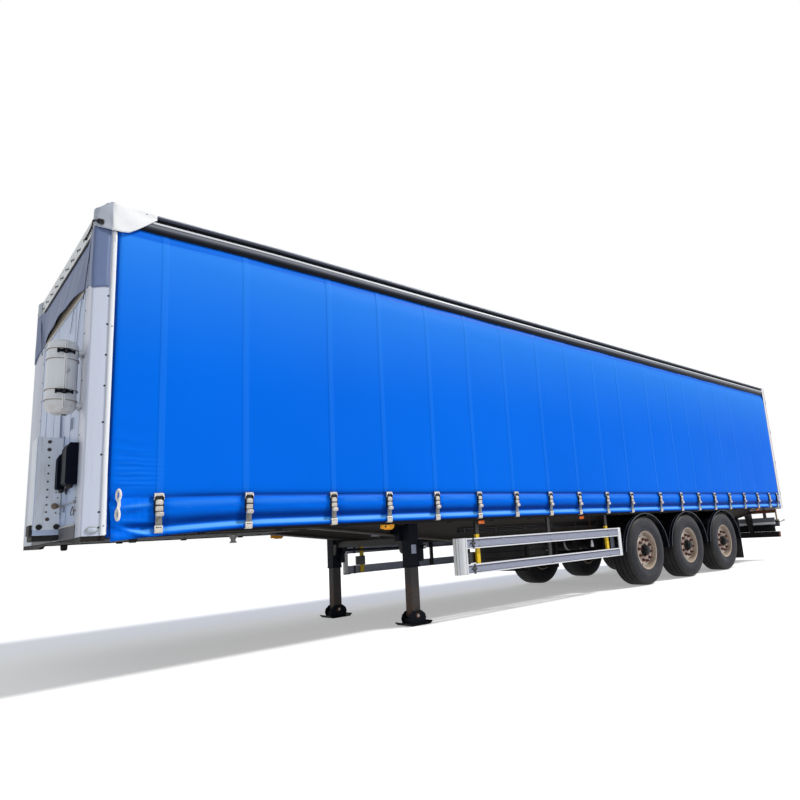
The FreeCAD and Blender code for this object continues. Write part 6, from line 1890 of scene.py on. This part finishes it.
def bellows():
    spring = Build("airBellows")
    low = 0.5705
    top = 0.8795
    height = top - low
    outline = [(0, 0), (0, 0.092), (0.01, 0.096), (0.075, 0.1), (0.088, 0.112), (0.098, 0.132),
        (0.116, 0.144), (0.14, 0.147), (0.162, 0.142), (0.172, 0.136), (0.182, 0.141), (0.205, 0.148),
        (0.235, 0.147), (0.262, 0.138), (0.282, 0.124), (0.296, 0.118), (height, 0.118), (height, 0)]
    for name in wheelNames:
        x = wheelCentre(name, "left").x - 0.38
        spring.turned(outline, (x, 0.6, low), (0, 0, 1), "rubber", 40)
        spring.turned([(0.166, 0.133), (0.166, 0.1395), (0.178, 0.1395), (0.178, 0.133)], (x, 0.6, low),
            (0, 0, 1), "galvanised", 40)
    spring.mirror().piece("trailer", "rubber", ["air_springs"])


def chassisDetails():
    part = Build("chassisLines")
    for y, z, radius in ((0.616, 1.03, 0.009), (0.616, 1.005, 0.007), (0.616, 0.985, 0.007)):
        part.rod((at(4.35), y, z), (at(12.3), y, z), radius, "blackPlastic", 8)
    for s in np.arange(4.45, 12.3, 0.6):
        part.box((at(s) - 0.012, 0.604, 0.972), (at(s) + 0.012, 0.628, 1.044), "boltDark", 0.002)
    part.mirror()
    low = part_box("air_tanks")[0]
    for s in (7.18, 7.5):
        for y in (-0.22, 0.22):
            part.turned([(-0.02, 0.1195), (-0.02, 0.1235), (0.02, 0.1235), (0.02, 0.1195)],
                (at(s), y, low.z + 0.12), (0, 1, 0), "galvanised", 36)
    part.blocks((at(8.62), at(8.5), 0.3, 0.44, 0.86, 0.96, "blackPlastic", 0.01),
        (at(10.02), at(9.86), -0.1, 0.1, 0.9, 1.02, "galvanised", 0.01))
    part.piece("trailer", "chassis_paint")
    spots = [(at(s), side * 0.6042, 0.925 + 0.035 * (round(s * 10) % 2)) for s in np.arange(4.5, 12.4,
        0.31) for side in (1, -1)]
    nuts("beamBolts", spots, outward(spots), 0.011, 0.01, "boltDark", "trailer", "steel")
    spots = [(at(s), side * y, 0.8795) for s in np.arange(4.7, 12.2, 0.47) for side in (1,
        -1) for y in (0.56, 0.64)]
    nuts("flangeBolts", spots, (0, 0, -1), 0.01, 0.01, "boltDark", "trailer", "steel")


markerLamps()
armLamps()
dockBuffers()
rearDetails()
bellows()
chassisDetails()
print("lamps, rear end and chassis made")

# CAD nodes that keep their shape take their finishes

nodeFinishes = {"chassisWeb": ("main_beams",), "legPaint": ("landing_legs",),
    "chassis": ("cross_members", "side_rails", "coupler_plate", "axles", "suspension_hangers",
    "underrun_bar", "spare_basket", "air_tanks"), "sillPaint": ("lamp_carrier",),
    "whiteEdge": ("rear_frame",), "frontPaint": ("front_wall", "coupling_console", "rear_door_left",
    "rear_door_right"), "galvanised": ("roof_bows", "side_posts", "lock_bars_left", "lock_bars_right"),
    "steel": ("kingpin",), "plywood": ("load_floor",), "yellow": ("guard_posts",),
    "blackGloss": ("mudguards",), "rubber": ("mudflaps",), "rim": ("spare_rim",),}
for coat, names in nodeFinishes.items():
    setFinish(names, coat)

# Camera, light and floor

view = {"place": (frontX + 1.071, 6.425, 0.956), "heading": 227.075, "pitch": 10.739, "roll": -3.664,
    "focalPixels": 607.5, "imagePixels": 800, "centreX": 450, "centreY": 420,}


def camera():
    data = bpy.data.cameras.new("camera")
    data.sensor_width = 36
    data.lens = view["focalPixels"] / view["imagePixels"] * data.sensor_width
    data.shift_x = (view["imagePixels"] / 2 - view["centreX"]) / view["imagePixels"]
    data.shift_y = (view["centreY"] - view["imagePixels"] / 2) / view["imagePixels"]
    eye = newObject("camera", data)
    turn = (Matrix.Rotation(radians(view["heading"] - 90), 4,
        "Z") @ Matrix.Rotation(radians(90 + view["pitch"]), 4, "X") @ Matrix.Rotation(radians(view["roll"]),
        4, "Z"))
    eye.matrix_world = Matrix.Translation(view["place"]) @ turn
    bpy.context.scene.camera = eye


light = {"skyStrength": 0.42, "skyTone": (0.9, 0.95, 1.0), "sunStrength": 3.0, "sunFrom": (-0.62, 0.36, 0.7),
    "sunSize": 7, "floorTone": (232, 232, 232),}


def lights():
    world = bpy.data.worlds.new("sky")
    world.use_nodes = True
    tree = world.node_tree
    tree.nodes.clear()
    path = tree.nodes.new("ShaderNodeLightPath")
    camera = Wire(tree, path.outputs["Is Camera Ray"])
    glossy = Wire(tree, path.outputs["Is Glossy Ray"])
    through = Wire(tree, path.outputs["Is Transmission Ray"])
    seen = (camera + glossy + through).clamped()
    strength = light["skyStrength"] + seen * (1.0 - light["skyStrength"])
    sky = addNode(tree, "ShaderNodeBackground", None, {"Color": (*light["skyTone"], 1),
        "Strength": strength})
    white = addNode(tree, "ShaderNodeBackground", None, {"Color": (1, 1, 1, 1), "Strength": 1.0})
    blend = addNode(tree, "ShaderNodeMixShader", None, {0: seen})
    tree.links.new(sky.outputs[0], blend.inputs[1])
    tree.links.new(white.outputs[0], blend.inputs[2])
    out = tree.nodes.new("ShaderNodeOutputWorld")
    tree.links.new(blend.outputs[0], out.inputs[0])
    bpy.context.scene.world = world
    sun = bpy.data.lights.new("sun", "SUN")
    sun.energy = light["sunStrength"]
    sun.angle = radians(light["sunSize"])
    sun.color = (1.0, 0.985, 0.96)
    lamp = newObject("sun", sun)
    lamp.rotation_euler = Vector(light["sunFrom"]).to_track_quat("Z", "Y").to_euler()


def floor():
    paint = Paint("floorWhite")
    path = addNode(paint.tree, "ShaderNodeLightPath")
    seen = Wire(paint.tree, path.outputs["Is Camera Ray"]) + Wire(paint.tree, path.outputs["Is Glossy Ray"])
    diffuse = addNode(paint.tree, "ShaderNodeBsdfDiffuse", None, {"Color": tone(*light["floorTone"])})
    glow = addNode(paint.tree, "ShaderNodeEmission", None, {"Color": (1, 1, 1, 1),
        "Strength": seen.clamped() * 0.35})
    both = paint.tree.nodes.new("ShaderNodeAddShader")
    paint.tree.links.new(diffuse.outputs[0], both.inputs[0])
    paint.tree.links.new(glow.outputs[0], both.inputs[1])
    out = paint.tree.nodes.new("ShaderNodeOutputMaterial")
    paint.tree.links.new(both.outputs[0], out.inputs[0])
    mesh = bpy.data.meshes.new("floor")
    reach = 60.0
    mesh.from_pydata([(-reach, -reach, 0), (reach, -reach, 0), (reach, reach, 0), (-reach, reach, 0)], [],
        [(0, 1, 2, 3)])
    mesh.materials.append(paint.material)
    newObject("floor", mesh)


camera()
lights()
floor()
bpy.context.scene.view_settings.view_transform = "Standard"
print("camera, light and floor set")
